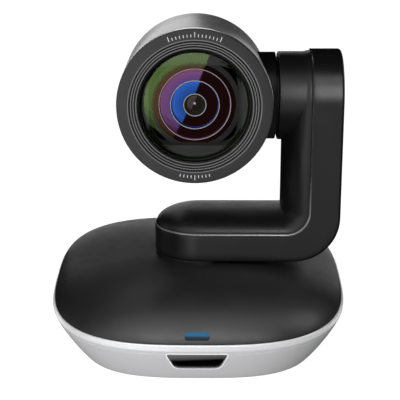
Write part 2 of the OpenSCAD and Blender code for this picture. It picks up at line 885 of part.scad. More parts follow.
module lens_motors() {
  color(steel) difference() {
    for (sz = [-1, 1]) union() {
      y_rod(head_x, tilt_z + sz * lead_z, barrel_back + 0.05, barrel_back + 8, 3.8);
      y_rod(head_x, tilt_z + sz * lead_z, barrel_back + 7.9, barrel_back + 8.6, 1.6);
    }
    for (sz = [-1, 1])
      y_rod(head_x, tilt_z + sz * lead_z, barrel_back - 1, barrel_back + 5, lead_r + running);
  }
}

module tilt_hub() {
  color(black) difference() {
    union() {
      x_rod(hub_x[0], hub_x[1], 0, tilt_z, hub_r);
      block([14, -12, tilt_z - 12], [hub_x[0] + 1, 12, tilt_z + 12]);
    }
    difference() {
      x_rod(hub_x[0] - 1, hub_x[1] - 2.4, 0, tilt_z, hub_r - 2.2);
      x_rod(hub_x[0] - 2, hub_x[1], 0, tilt_z, 9);
      block([13, -12, tilt_z - 12], [hub_x[0] + 1.5, 12, tilt_z + 12]);
    }
    y_rod(head_x, tilt_z, -25, 25, barrel_out_r + 0.1);
    x_rod(10, 40, 0, tilt_z, axle_r);
    y_rod(head_x, tilt_z, flange_y[0] - 0.2, flange_y[1] + 0.2, head_r);
  }
}

module tilt_axle() {
  color(steel) difference() {
    x_rod(20.2, 56.5, 0, tilt_z, axle_r);
    x_rod(19, 58, 0, tilt_z, 3.2);
  }
}

module tilt_gear() {
  color([0.9, 0.9, 0.86]) difference() {
    union() {
      translate([tilt_gear_x[0], 0, tilt_z]) rotate([0, 90, 0])
        spur_gear(tilt_teeth, tilt_gear_x[1] - tilt_gear_x[0]);
      x_rod(39.9, 45.2, 0, tilt_z, 7.5);
    }
    x_rod(30, 60, 0, tilt_z, axle_r);
    for (angle = [0 : 60 : 300])
      x_rod(39, 46, 11 * cos(angle), tilt_z + 11 * sin(angle), 1.8);
  }
}

module axle_ring() {
  color(steel) difference() {
    x_rod(54.4, 55.6, 0, tilt_z, 7.6);
    x_rod(50, 60, 0, tilt_z, axle_r);
  }
}

module rear_cover_screws() {
  color(steel) lens_corners(cover_post_r) rotate([-90, 0, 0])
    screw(head_back + 1.7, 1.25, 8, 2.4, 1.2);
}

// Moving lens cell: slides on the guide rods and is driven by one lead screw
module cell(y0, y1, lens_r, drive) {
  difference() {
    y_rod(head_x, tilt_z, y0, y1, cell_r);
    y_rod(head_x, tilt_z, y0 - 1, y1 + 1, lens_r);
    for (sx = [-1, 1]) y_rod(head_x + sx * rod_x, tilt_z, y0 - 1, y1 + 1, rod_r + running);
    y_rod(head_x, tilt_z + drive * lead_z, y0 - 1, y1 + 1, lead_r + running);
    y_rod(head_x, tilt_z - drive * lead_z, y0 - 1, y1 + 1, 2);
    for (sx = [-1, 1], sz = [-1, 1])
      y_rod(head_x + sx * 9.5, tilt_z + sz * 10.5, y0 - 1, y1 + 1, 2);
  }
}

module zoom_cell() {
  color(black) cell(-7.5, -4, 8, -1);
}

module zoom_lens() {
  color(glass) element(-7.6, -3.9, 8, 22, 22);
}

module focus_cell() {
  color(black) cell(5, 8, 6.5, 1);
}

module focus_lens() {
  color(glass) element(4.9, 8.1, 6.5, 20, 20);
}

module zoom_screw() {
  color(steel) y_rod(head_x, tilt_z - lead_z, -11.8, barrel_back + 4.8, lead_r);
}

module focus_screw() {
  color(steel) y_rod(head_x, tilt_z + lead_z, 1.5, barrel_back + 4.8, lead_r);
}

base_lower_shell();
base_top_cover();
rubber_foot();
tripod_bush();
ballast_plate();
main_board();
board_screws();
rear_port_panel();
mini_din_socket();
dc_jack();
lock_plate();
front_board();
ir_receiver();
ir_window();
led_light_pipe();
pan_frame();
frame_screws();
base_screws();
pan_motor();
pan_outer_race();
pan_bearing_balls();
pan_pinion();
turntable();
pan_inner_race();
pan_gear();
spindle_nut();
arm_outer_band();
arm_inner_cover();
arm_frame();
turntable_screws();
tilt_motor();
tilt_bushes();
arm_ribbon_cable();
tilt_pinion();
head_sleeve();
head_rear_cover();
lens_bezel();
front_glass();
lens_baffle();
front_lens();
lens_barrel();
guide_rods();
sensor_board();
image_sensor();
camera_board();
tilt_hub();
tilt_axle();
tilt_gear();
axle_ring();
lens_motors();
rear_cover_screws();
zoom_cell();
zoom_lens();
focus_cell();
focus_lens();
zoom_screw();
focus_screw();
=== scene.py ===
import json
import math
import bpy
import bmesh
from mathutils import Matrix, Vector


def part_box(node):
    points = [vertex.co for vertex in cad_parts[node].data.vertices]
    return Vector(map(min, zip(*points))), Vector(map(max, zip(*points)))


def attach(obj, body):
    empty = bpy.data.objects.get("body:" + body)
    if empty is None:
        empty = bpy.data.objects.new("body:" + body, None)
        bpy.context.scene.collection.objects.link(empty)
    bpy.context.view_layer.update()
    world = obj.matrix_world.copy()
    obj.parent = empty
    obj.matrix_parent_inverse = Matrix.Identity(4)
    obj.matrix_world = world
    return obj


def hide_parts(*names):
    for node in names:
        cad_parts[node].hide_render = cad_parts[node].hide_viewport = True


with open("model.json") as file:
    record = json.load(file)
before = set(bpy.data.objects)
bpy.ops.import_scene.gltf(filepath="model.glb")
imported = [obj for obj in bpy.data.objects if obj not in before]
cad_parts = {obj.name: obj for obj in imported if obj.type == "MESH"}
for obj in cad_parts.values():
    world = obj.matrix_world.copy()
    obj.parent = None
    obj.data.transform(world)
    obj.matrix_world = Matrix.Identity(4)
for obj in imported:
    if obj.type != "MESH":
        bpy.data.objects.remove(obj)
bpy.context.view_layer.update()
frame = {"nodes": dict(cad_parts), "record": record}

# Looks of a pan, tilt and zoom camera. Metres, +Z up, lens towards -Y, as in the frame.
MM = 0.001

# ---- Sizes, from the frame where it has them ----
base_low, base_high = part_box("base_lower_shell")
band_low, band_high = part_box("arm_outer_band")
sleeve_low, sleeve_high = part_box("head_sleeve")
hub_low, hub_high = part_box("tilt_hub")
disc_low, disc_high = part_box("turntable")
bay_low, bay_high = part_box("rear_port_panel")
axle_low, axle_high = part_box("tilt_axle")

HALF_W = (base_high[0] - base_low[0]) / 2
HALF_D = (base_high[1] - base_low[1]) / 2
PLAN_POWER = 3
FLOOR_Z = base_low[2]
RIM_Z = 27.5 * MM
RIM_SLOPE = 0.131
CROWN_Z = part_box("base_top_cover")[1][2]
DOME_POWER = 2.7
DOME_ROOT = 1 / 1.6
FLOOR_RATIO = 0.79
BOWL_POWER = 2 / 1.135
SHELL_WALL = 2 * MM
LIP_RHO = 0.99
COVER_RHO = 0.9865

TURNTABLE_R = (disc_high[0] - disc_low[0]) / 2
TILT_Z = (axle_low[2] + axle_high[2]) / 2
ARM_HALF = (band_high[1] - band_low[1]) / 2
FOOT_Z = band_low[2]
SEAM_Z = FOOT_Z + 13 * MM
REACH_X = band_high[0]
SEAM_X = REACH_X - 13.9 * MM
FOOT_END_X = band_low[0] + ARM_HALF
OUTER_CORNER = 20 * MM
SEAM_CORNER = 9.8 * MM
FOOT_BULGE = 7.7 * MM
COLUMN_BULGE = 11.5 * MM
BARREL_R = 19.4 * MM
BARREL_X = 34.6 * MM

LENS_X = (sleeve_low[0] + sleeve_high[0]) / 2
HEAD_R = (sleeve_high[2] - sleeve_low[2]) / 2
SLEEVE_FRONT = sleeve_low[1]
SLEEVE_BACK = sleeve_high[1]
HEAD_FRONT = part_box("lens_bezel")[0][1]
HEAD_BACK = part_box("head_rear_cover")[1][1]
RING_BORE_R = 24.2 * MM
GLASS_R = 22.3 * MM
GLASS_DEPTH = 4.6 * MM
GROOVE_CRESTS = [r * MM for r in (24.75, 25.9, 26.9, 28.1)]
HUB_R = (hub_high[1] - hub_low[1]) / 2
HUB_X = BARREL_X - 1.0 * MM

# Painted glow of the lenses: they shine faintly in these colours though they are no lamp
MAROON_PAINTED_GLOW = (0.009, 0.0025, 0.0027)
OLIVE_PAINTED_GLOW = (0.012, 0.011, 0.008)
TIP = 0.01 * MM
ROUND = 96
SMOOTH = 160
FINE = 288
GRAIN = 1800
dressed = []


# ---- Camera and light ----

def look_at(obj, target):
    obj.rotation_euler = (target - obj.location).to_track_quat("-Z", "Y").to_euler()


def make_camera():
    """Perspective camera in front of the object, looking slightly down on it."""
    elevation = math.radians(15.8)
    azimuth = math.radians(-0.5)
    distance = 0.499
    centre = Vector((0, 0, 0.070))
    level = Vector((math.sin(azimuth), math.cos(azimuth), 0))
    forward = level * math.cos(elevation) - Vector((0, 0, math.sin(elevation)))
    up = level * math.sin(elevation) + Vector((0, 0, math.cos(elevation)))
    data = bpy.data.cameras.new("camera")
    data.sensor_width = 36
    data.lens = 99.15
    data.clip_start = 0.01
    data.clip_end = 50
    camera = bpy.data.objects.new("camera", data)
    bpy.context.collection.objects.link(camera)
    camera.location = centre - forward * distance
    look_at(camera, centre - up * 5.18 * MM + Vector((1, 0, 0)) * 0.7 * MM)
    bpy.context.scene.camera = camera


def panel(name, place, target, width, height, radiance, roll=0.0, only=None):
    """Soft box of even brightness, hidden from the camera. Roll turns it about its own axis.

    only names the bodies or the pieces it lights, where it is flagged off from the rest.
    """
    data = bpy.data.lights.new(name, "AREA")
    data.shape = "RECTANGLE"
    data.size = width
    data.size_y = height
    data.energy = radiance * math.pi * width * height
    light = bpy.data.objects.new(name, data)
    bpy.context.collection.objects.link(light)
    light.location = Vector(place)
    look_at(light, Vector(target))
    light.rotation_euler.rotate_axis("Z", math.radians(roll))
    light.visible_camera = False
    if only:
        lit = bpy.data.collections.new(name + "_lit")
        for piece in pieces_on(only):
            lit.objects.link(piece)
        light.light_linking.receiver_collection = lit
    return light


def pieces_on(names):
    """Every piece so named, and every piece and CAD node that rides on a body so named."""
    found = [piece for body, piece in dressed if body in names or piece.name in names]
    bodies = frame["record"]["behaviour"]["bodies"]
    for body in bodies:
        if body in names:
            found += [frame["nodes"][node] for node in bodies[body]]
    return found


def make_lens_card():
    """Large card to the front left, whose slanting edge is mirrored in the lens.

    Two dimmer strips let it fade out at its lower end.
    """
    lean = math.radians(23)
    along = Vector((math.sin(lean), 0, math.cos(lean)))
    across = Vector((-math.cos(lean), 0, math.sin(lean)))
    width = 0.75
    edge_point = Vector((-0.040, -0.33, 0.051))
    low = 0.66
    for name, depth, radiance in (("lens_card", 0.80, 0.9), ("lens_card_fade", 0.05, 0.6),
                                  ("lens_card_end", 0.06, 0.3)):
        centre = edge_point + across * width / 2 + along * (low - depth / 2)
        panel(name, centre, centre + Vector((0, 1, 0)), width, depth, radiance, -math.degrees(lean))
        low -= depth


def make_studio():
    """Soft boxes around the object, each flagged to the pieces it is meant for, and a dim world."""
    make_lens_card()
    base, arm, sleeve, head = ["base"], ["arm"], ["silver_sleeve"], ["head"]
    middle = (0, 0, 0.05)
    tilt_axis = (0, 0, TILT_Z)
    panel("left_wall", (-0.75, 0.05, 0.12), middle, 0.5, 0.5, 0.25, only=base + arm)
    panel("overhead", (0.0, 0.42, 1.0), middle, 0.6, 0.5, 1.2, only=base)
    panel("top_front", (0.0, -0.34, 1.0), middle, 0.9, 0.6, 1.4, only=base)
    panel("edge_strip", (0.0, -0.75, 0.72), middle, 0.9, 0.14, 9.0, only=base)
    panel("right_top", (0.70, -0.05, 0.75), middle, 0.4, 0.4, 3.6, only=base)
    panel("back_right", (0.42, 1.1, 0.32), middle, 0.5, 0.35, 0.5, only=base)
    panel("back_wall", (-0.1, 1.2, 0.44), middle, 1.2, 0.24, 0.42, only=base)
    panel("sleeve_left", (-0.62, 0.85, 0.45), tilt_axis, 0.50, 0.85, 3.4, only=sleeve)
    panel("sleeve_top", (-0.18, 0.95, 0.50), tilt_axis, 0.38, 0.85, 0.72, only=sleeve)
    panel("sleeve_right", (0.50, 0.85, 0.45), tilt_axis, 0.70, 0.85, 0.65, only=sleeve)
    panel("sleeve_rim", (-0.1, -0.2, 1.0), tilt_axis, 0.6, 0.3, 2.2, only=sleeve)
    panel("arm_front", (0.26, -0.85, 0.40), tilt_axis, 0.5, 0.5, 5.0, only=arm)
    panel("arm_front_high", (0.26, -0.68, 0.86), tilt_axis, 0.5, 0.35, 1.8, only=["black_band"])
    panel("arm_table", (0.05, -0.75, -0.15), (0.03, 0, 0.08), 0.9, 0.25, 0.6, only=arm)
    panel("arm_back", (-0.05, 1.2, 0.49), middle, 0.9, 0.22, 1.5, only=["inner_cover"])
    panel("seam_top", (0.05, 0.30, 1.0), (0.03, 0, 0.05), 0.5, 0.3, 4.0, only=["seam_line"])
    panel("back_fill", (0.1, 1.2, 0.05), middle, 1.2, 0.16, 2.0, only=base + arm + ["rear_cap"])
    panel("right_fill", (1.1, 0.1, 0.10), middle, 0.8, 0.16, 1.2, only=base + arm)
    for side, word in ((-1, "left"), (1, "right")):
        panel(f"shell_{word}", (side * 1.2, 0.75, -0.10), middle, 0.8, 0.5, 2.0, only=["silver_shell"])
        panel(f"sleeve_{word}_side", (side * 1.2, 0.10, 0.25), tilt_axis, 0.7, 0.6, 1.0, only=sleeve)
        panel(f"band_{word}", (side * 1.2, 0.55, 0.35), tilt_axis, 0.6, 0.6, 1.6, only=["black_band"])
    panel("shell_back", (0.0, 1.2, -0.15), middle, 1.0, 0.4, 3.0, only=["silver_shell"])
    panel("spark", (-0.012, -0.33, 0.075), tilt_axis, 0.045, 0.045, 10.0, only=head)
    bounces = [panel("table_bounce", (-0.16, -0.52, -0.45), (0, 0, 0.02), 0.6, 0.6, 4.4, only=head),
               panel("base_bounce", (-0.18, -0.78, -0.25), (0, 0, 0.02), 0.36, 0.6, 10.8, only=base)]
    for bounce in bounces:
        bounce.visible_glossy = False
    world = bpy.data.worlds.new("studio")
    world.use_nodes = True
    background = world.node_tree.nodes["Background"]
    background.inputs["Color"].default_value = (1, 1, 1, 1)
    background.inputs["Strength"].default_value = 0.06
    bpy.context.scene.world = world
    world.cycles_visibility.glossy = False
    bpy.context.scene.view_settings.view_transform = "Standard"


def make_room():
    """Pale floor that curves up into a round wall and a roof, all in one sheet."""
    radius = 3.0
    bend = 1.0
    top = 4.0
    profile = [(0.01, 0.0), (0.5, 0.0), (1.2, 0.0), (radius - bend, 0.0)]
    profile += [(radius - bend + bend * math.sin(a), bend - bend * math.cos(a))
                for a in quarter(10)[1:]]
    profile += [(radius, top), (0.01, top + 1.0)]
    rings = [[(r * math.cos(t), r * math.sin(t), z) for t in turn(ROUND)] for r, z in profile]
    room = loft("studio_floor", rings)
    room.data.materials.append(floor_material())
    room.visible_diffuse = False
    room.visible_glossy = False
    room.visible_transmission = False
    room.visible_shadow = False


# ---- Mesh helpers ----

def new_object(name, verts, faces, sharp_angle=35):
    mesh = bpy.data.meshes.new(name)
    mesh.from_pydata([tuple(v) for v in verts], [], faces)
    obj = bpy.data.objects.new(name, mesh)
    bpy.context.collection.objects.link(obj)
    tidy_mesh(obj, sharp_angle)
    return obj


def tidy_mesh(obj, sharp_angle=35):
    """Welds doubles, points the faces outward and shades smooth except at sharp edges."""
    build = bmesh.new()
    build.from_mesh(obj.data)
    bmesh.ops.remove_doubles(build, verts=build.verts, dist=1e-6)
    bmesh.ops.dissolve_degenerate(build, edges=build.edges, dist=1e-7)
    bmesh.ops.recalc_face_normals(build, faces=build.faces)
    build.to_mesh(obj.data)
    build.free()
    obj.data.polygons.foreach_set("use_smooth", [True] * len(obj.data.polygons))
    obj.data.set_sharp_from_angle(angle=math.radians(sharp_angle))


def turn(steps):
    """Angles of a whole turn, without its end."""
    return [2 * math.pi * i / steps for i in range(steps)]


def quarter(steps):
    """Angles of a quarter turn, with both its ends."""
    return [math.pi / 2 * k / steps for k in range(steps + 1)]


def loft(name, rings, wrap=False, caps=False, sharp_angle=35):
    """Skin through closed rings of equal length. wrap joins the last ring to the first."""
    count = len(rings[0])
    verts = [p for ring in rings for p in ring]
    faces = []
    for k in range(len(rings) if wrap else len(rings) - 1):
        a = k * count
        b = ((k + 1) % len(rings)) * count
        for i in range(count):
            j = (i + 1) % count
            faces.append((a + i, a + j, b + j, b + i))
    if caps:
        faces.append(tuple(range(count)))
        faces.append(tuple(reversed(range((len(rings) - 1) * count, len(rings) * count))))
    return new_object(name, verts, faces, sharp_angle)


def rounded(corners, steps=5):
    """Polyline whose corners (a, b, radius) are rounded; a radius of 0 keeps the corner."""
    points = []
    count = len(corners)
    for k, (a, b, radius) in enumerate(corners):
        here = Vector((a, b))
        if radius <= 0 or (k in (0, count - 1)):
            points.append(here)
            continue
        before = (Vector(corners[k - 1][:2]) - here).normalized()
        after = (Vector(corners[k + 1][:2]) - here).normalized()
        half_angle = before.angle(after) / 2
        reach = radius / math.tan(half_angle)
        centre = here + (before + after).normalized() * radius / math.sin(half_angle)
        start = here + before * reach - centre
        end = here + after * reach - centre
        turn = start.angle_signed(end)
        for i in range(steps + 1):
            t = turn * i / steps
            cos, sin = math.cos(-t), math.sin(-t)
            points.append(centre + Vector((start.x * cos - start.y * sin,
                                           start.x * sin + start.y * cos)))
    return points


def turned(name, corners, segments=ROUND, sharp_angle=35):
    """Turns a profile of (radius, y, rounding) about the lens axis."""
    rings = [[(LENS_X + r * math.cos(t), y, TILT_Z + r * math.sin(t)) for t in turn(segments)]
             for r, y in rounded(corners)]
    return loft(name, rings, sharp_angle=sharp_angle)


def turned_x(name, corners, segments=ROUND, wrap=False):
    """Turns a profile of (radius, x, rounding) about the tilt axis."""
    rings = [[(x, r * math.cos(t), TILT_Z + r * math.sin(t)) for t in turn(segments)]
             for r, x in rounded(corners)]
    return loft(name, rings, wrap=wrap)


def prism_y(name, outline, y0, y1):
    """Prism along Y from an outline of (x, z) points."""
    rings = [[(x, y, z) for x, z in outline] for y in (y0, y1)]
    return loft(name, rings, caps=True)


def closed_outline(corners):
    """Closed rounded outline from corners (a, b, radius)."""
    ring = [corners[-1]] + corners + [corners[0]]
    return [tuple(p) for p in rounded(ring, 6)[1:-1]]


def rectangle(low, high, radius):
    """Rounded rectangle between its lowest and highest corner (x, z)."""
    return closed_outline([(low[0], low[1], radius), (high[0], low[1], radius),
                           (high[0], high[1], radius), (low[0], high[1], radius)])


def apply_modifiers(obj, sharp_angle=35):
    graph = bpy.context.evaluated_depsgraph_get()
    mesh = bpy.data.meshes.new_from_object(obj.evaluated_get(graph))
    obj.modifiers.clear()
    obj.data = mesh
    tidy_mesh(obj, sharp_angle)


def combine(obj, other, operation, sharp_angle=35):
    """Boolean of obj with other, which is then removed."""
    change = obj.modifiers.new("combine", "BOOLEAN")
    change.operation = operation
    change.object = other
    change.solver = "EXACT"
    apply_modifiers(obj, sharp_angle)
    bpy.data.objects.remove(other)


def soften(obj, width):
    """Rounds the sharp edges of a boolean result."""
    bevel = obj.modifiers.new("soften", "BEVEL")
    bevel.width = width
    bevel.segments = 3
    bevel.limit_method = "ANGLE"
    bevel.angle_limit = math.radians(50)
    apply_modifiers(obj)


def finish_piece(obj, body, slot, material, *nodes):
    """Gives a piece its body, its material and the CAD nodes it stands for. The slot is not used."""
    dressed.append((body, obj))
    obj.data.materials.clear()
    obj.data.materials.append(material)
    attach(obj, body)
    if nodes:
        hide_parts(*nodes)


# ---- Base surfaces ----

def plan_r(angle, inset=0.0):
    """Radius of the base outline at an angle."""
    across = abs(math.cos(angle)) / (HALF_W - inset)
    along = abs(math.sin(angle)) / (HALF_D - inset)
    return (across ** PLAN_POWER + along ** PLAN_POWER) ** (-1 / PLAN_POWER)


def plan_rho(x, y):
    return ((abs(x) / HALF_W) ** PLAN_POWER + (abs(y) / HALF_D) ** PLAN_POWER) ** (1 / PLAN_POWER)


def rim_at(y):
    return RIM_Z + RIM_SLOPE * y


def dome_z(x, y):
    rho = min(plan_rho(x, y), 1.0)
    rise = (1 - rho ** DOME_POWER) ** DOME_ROOT
    return rim_at(y) + (CROWN_Z - rim_at(y)) * rise


def bowl_point(angle, t, inset=0.0, lift=0.0):
    """Point of the lower shell: t is 0 at the rim and 90 degrees at the floor."""
    rho = FLOOR_RATIO + (1 - FLOOR_RATIO) * max(math.cos(t), 0.0) ** BOWL_POWER
    r = plan_r(angle, inset) * rho
    y = r * math.sin(angle)
    level = 1 - math.sin(t) ** BOWL_POWER
    return (r * math.cos(angle), y, FLOOR_Z + (rim_at(y) - FLOOR_Z) * level + lift)


def dome_point(angle, rho, inset=0.0, lift=0.0):
    r = plan_r(angle) * rho - inset
    x = r * math.cos(angle)
    y = r * math.sin(angle)
    outer_x = plan_r(angle) * rho * math.cos(angle)
    outer_y = plan_r(angle) * rho * math.sin(angle)
    return (x, y, dome_z(outer_x, outer_y) + lift)


def around(point):
    return [point(angle) for angle in turn(FINE)]


def hole_point(angle, w, hole_r, drop=0.0):
    """Point of the dome between the turntable hole (w = 0) and the cover's edge (w = 1)."""
    r = hole_r + (plan_r(angle) * COVER_RHO - hole_r) * w
    x = r * math.cos(angle)
    y = r * math.sin(angle)
    return (x, y, dome_z(x, y) - drop)


def build_top_cover():
    hole_r = TURNTABLE_R + 0.45 * MM
    weights = [1 - (1 - k / 30) ** 2.4 for k in range(31)]
    rings = [around(lambda a, w=w: hole_point(a, w, hole_r)) for w in weights]
    edge = [around(lambda a, d=d: dome_point(a, COVER_RHO, d[0] * MM, d[1] * MM))
            for d in ((0.05, -0.25), (0.25, -0.4), (0.8, -0.45), (1.9, -0.4))]
    under = [around(lambda a, w=w: hole_point(a, w, hole_r, SHELL_WALL))
             for w in (0.95, 0.85, 0.7, 0.4, 0.0)]
    lip = [around(lambda a, d=d: hole_point(a, -d[0] * 0.01, hole_r, d[1] * MM))
           for d in ((0.8, 1.4), (0.9, 0.5), (0.45, 0.12))]
    cover = loft("dark_cover", rings + edge + under + lip, wrap=True)
    combine(cover, prism_y("led_cut", led_outline(0.1), -HALF_D, -50 * MM), "DIFFERENCE")
    return cover


def led_outline(gap):
    g = gap * MM
    return closed_outline([(-5.1 * MM - g, 23.3 * MM - g, 0.9 * MM),
                           (5.1 * MM + g, 23.3 * MM - g, 0.9 * MM),
                           (4.8 * MM + g, 25.9 * MM + g, 0.8 * MM),
                           (-4.8 * MM - g, 25.9 * MM + g, 0.8 * MM)])


def ir_outline(gap):
    g = gap * MM
    return closed_outline([(-9.2 * MM - g, 8.2 * MM - g, 3.4 * MM + g),
                           (9.2 * MM + g, 8.2 * MM - g, 3.4 * MM + g),
                           (12.6 * MM + 1.4 * g, 17.0 * MM + g, 0.6 * MM + g),
                           (-12.6 * MM - 1.4 * g, 17.0 * MM + g, 0.6 * MM + g)])


def build_lower_shell():
    def groove(a, depth, t):
        x, y, z = bowl_point(a, t)
        scale = 1 - depth / math.hypot(x, y)
        return (x * scale, y * scale, z)

    lip = [around(lambda a, d=d: dome_point(a, LIP_RHO, d[0] * MM, d[1] * MM))
           for d in ((2.0, -1.6), (2.0, -0.1), (1.9, 0.0), (0.2, 0.0), (0.04, -0.08))]
    band_t = math.radians(13)
    shoulder = [around(lambda a, r=r: dome_point(a, r)) for r in (0.9935, 0.997, 0.9995)]
    band = [around(lambda a, k=k: bowl_point(a, band_t * k / 4)) for k in range(4)]
    line = [around(lambda a, d=d: groove(a, d[0] * MM, band_t + math.radians(d[1])))
            for d in ((0.02, 0), (0.28, 0.7), (0.3, 1.6), (0.05, 2.4))]
    start = band_t + math.radians(3.2)
    sides = [around(lambda a, k=k: bowl_point(a, start + (math.radians(88) - start) * k / 26))
             for k in range(27)]
    toe = [around(lambda a, d=d: bowl_point(a, math.radians(90), d[0] * MM, d[1] * MM))
           for d in ((0.3, 0.02), (1.2, 0.0))]
    inside = [around(lambda a, k=k: bowl_point(a, math.radians(k), SHELL_WALL,
                                               SHELL_WALL * math.sin(math.radians(k))))
              for k in (90, 60, 40, 20, 6)]
    rings = lip + shoulder + band + line + sides + toe
    floor_in = [(0, 0, FLOOR_Z + SHELL_WALL)] * FINE
    floor_out = [(0, 0, FLOOR_Z)] * FINE
    shell = loft("silver_shell", [floor_out] + list(reversed(rings)) + list(reversed(inside))
                 + [floor_in], sharp_angle=30)
    combine(shell, prism_y("ir_cut", ir_outline(0.15), -HALF_D - 2 * MM, -50 * MM), "DIFFERENCE")
    bay = rectangle((bay_low[0], bay_low[2]), (bay_high[0], bay_high[2]), 1.5 * MM)
    combine(shell, prism_y("bay_cut", bay, bay_low[1] - 2 * MM, HALF_D + 2 * MM), "DIFFERENCE")
    return shell


def window_piece(name, outline, skin, y_front, y_back, inset):
    """Solid window cut from an outline, whose front follows the shell at a small inset."""
    steps_x = 24
    steps_z = 12
    margin = 0.2 * MM
    low_x = min(p[0] for p in outline) - margin
    high_x = max(p[0] for p in outline) + margin
    low_z = min(p[1] for p in outline) - margin
    high_z = max(p[1] for p in outline) + margin
    xs = [low_x + (high_x - low_x) * i / steps_x for i in range(steps_x + 1)]
    rings = []
    for j in range(steps_z + 1):
        z = low_z + (high_z - low_z) * j / steps_z
        rings.append([(x, skin(x, z) + inset, z) for x in xs] + [(x, y_back, z) for x in reversed(xs)])
    piece = loft(name, rings, caps=True)
    combine(piece, prism_y(name + "_cut", outline, y_front, y_back), "INTERSECT")
    soften(piece, 0.25 * MM)
    return piece


def build_window_frame():
    """Fine lip around the infrared window, following the lower shell; it is painted bright as a highlight
    on the window's edge.
    """
    rings = []
    for gap, proud in ((0.75, -0.3), (0.65, 0.04), (0.4, 0.14), (0.18, 0.04), (0.12, -0.8)):
        rings.append([(x, bowl_front_y(x, z) - proud * MM, z) for x, z in ir_outline(gap)])
    return loft("window_frame", rings, wrap=True, sharp_angle=50)


def dome_front_y(x, z):
    """Y of the cover's front surface at a height, found by halving."""
    low, high = -HALF_D * 0.995, -30 * MM
    for _ in range(40):
        middle = (low + high) / 2
        if dome_z(x, middle) > z:
            high = middle
        else:
            low = middle
    return (low + high) / 2


def bowl_front_y(x, z):
    """Y of the lower shell's front surface at a height, found by halving."""
    low, high = 0.0, math.pi / 2
    for _ in range(40):
        t = (low + high) / 2
        rho = FLOOR_RATIO + (1 - FLOOR_RATIO) * math.cos(t) ** BOWL_POWER
        y = -HALF_D * (max(rho ** PLAN_POWER - (abs(x) / HALF_W) ** PLAN_POWER, 0.0)
                       ) ** (1 / PLAN_POWER)
        height = FLOOR_Z + (rim_at(y) - FLOOR_Z) * (1 - math.sin(t) ** BOWL_POWER)
        if height > z:
            low = t
        else:
            high = t
    return y


# ---- Arm surfaces ----

def arm_path(height):
    """Points (x, z) along the arm, from the foot's end to the column's top.

    height 0 is the seam, -1 the outer skin and 1 the crest of the inner bulge.
    """
    if height <= 0:
        t = -height
        z = SEAM_Z + (FOOT_Z - SEAM_Z) * t
        x = SEAM_X + (REACH_X - SEAM_X) * t
        radius = SEAM_CORNER + (OUTER_CORNER - SEAM_CORNER) * t
    else:
        z = SEAM_Z + FOOT_BULGE * height
        x = SEAM_X - COLUMN_BULGE * height
        radius = SEAM_CORNER * (1 - height) + 0.5 * MM * height
    split_x = 28 * MM
    split_z = 76 * MM
    centre = (x - radius, z + radius)
    foot = [(split_x + (centre[0] - split_x) * k / 4, z) for k in range(5)]
    corner = [(centre[0] + radius * math.sin(a), centre[1] - radius * math.cos(a))
              for a in quarter(20)[1:-1]]
    column = [(x, centre[1] + (split_z - centre[1]) * k / 4) for k in range(5)]
    return foot + corner + column


def arm_ring(inset, height):
    """Loop around the arm's rounded outline, drawn in by an inset, at a height."""
    half = max(ARM_HALF - inset, 1e-5)
    path = arm_path(height)
    foot_z = path[0][1]
    column_x = path[-1][0]
    end_steps = 24
    loop = []
    for k in range(end_steps + 1):
        a = math.pi / 2 + math.pi * k / end_steps
        loop.append((FOOT_END_X + half * math.cos(a), half * math.sin(a), foot_z))
    loop += [(x, -half, z) for x, z in path]
    for k in range(end_steps + 1):
        a = -math.pi / 2 + math.pi * k / end_steps
        loop.append((column_x, half * math.sin(a), TILT_Z + half * math.cos(a)))
    loop += [(x, half, z) for x, z in reversed(path)]
    return loop


def build_band():
    """Thick outer band of the arm, with a rounded outer edge and a fine chamfer at the seam."""
    edge = 1.3 * MM
    thick = SEAM_Z - FOOT_Z
    outer = [arm_ring(ARM_HALF * k / 6 + edge, -1) for k in (6, 4, 2, 1, 0.3)]
    corner = [arm_ring(edge * (1 - math.sin(a)), -1 + edge * (1 - math.cos(a)) / thick)
              for a in quarter(6)]
    wall = [arm_ring(0, -t) for t in (0.75, 0.5, 0.25, 0.075)]
    chamfer = [arm_ring(inset * MM, height) for inset, height in
               ((0.06, -0.045), (0.35, -0.012), (0.6, -0.005), (1.4, -0.004), (1.5, -0.02),
                (1.9, -0.3), (2.0, -0.8))]
    inner = [arm_ring(ARM_HALF * k / 6, -0.85) for k in (1, 2, 4, 6)]
    return loft("black_band", outer + corner + wall + chamfer + inner, sharp_angle=40)


def build_seam_line():
    """Chamfer strip of the band, a fine line along the seam with the inner cover, coloured as a painted
    highlight.
    """
    rings = [arm_ring(inset * MM, height) for inset, height in
             ((-0.02, -0.055), (0.02, -0.028), (0.26, -0.006), (0.42, -0.002), (0.42, -0.05))]
    return loft("seam_line", rings, wrap=True, sharp_angle=50)


def build_inner_cover():
    """Bulging inner cover, joined to the round barrel at the tilt axis."""
    gap = 0.75 * MM
    half = ARM_HALF - gap
    rings = [arm_ring(ARM_HALF - half * math.cos(a), math.sin(a)) for a in quarter(21)]
    skirt = [arm_ring(gap, -0.25), arm_ring(gap, -0.04)]
    base = [arm_ring(ARM_HALF * k / 4, -0.25) for k in (4, 3, 2, 1)]
    cover = loft("inner_cover", base + skirt + rings, sharp_angle=40)
    buried_x = SEAM_X + 1.2 * MM
    barrel = turned_x("barrel", [(TIP, buried_x, 0), (BARREL_R, buried_x, 0),
                                 (BARREL_R, BARREL_X, 0.7 * MM), (TIP, BARREL_X, 0)], segments=SMOOTH)
    combine(cover, barrel, "UNION", sharp_angle=28)
    return cover


# ---- Head ----

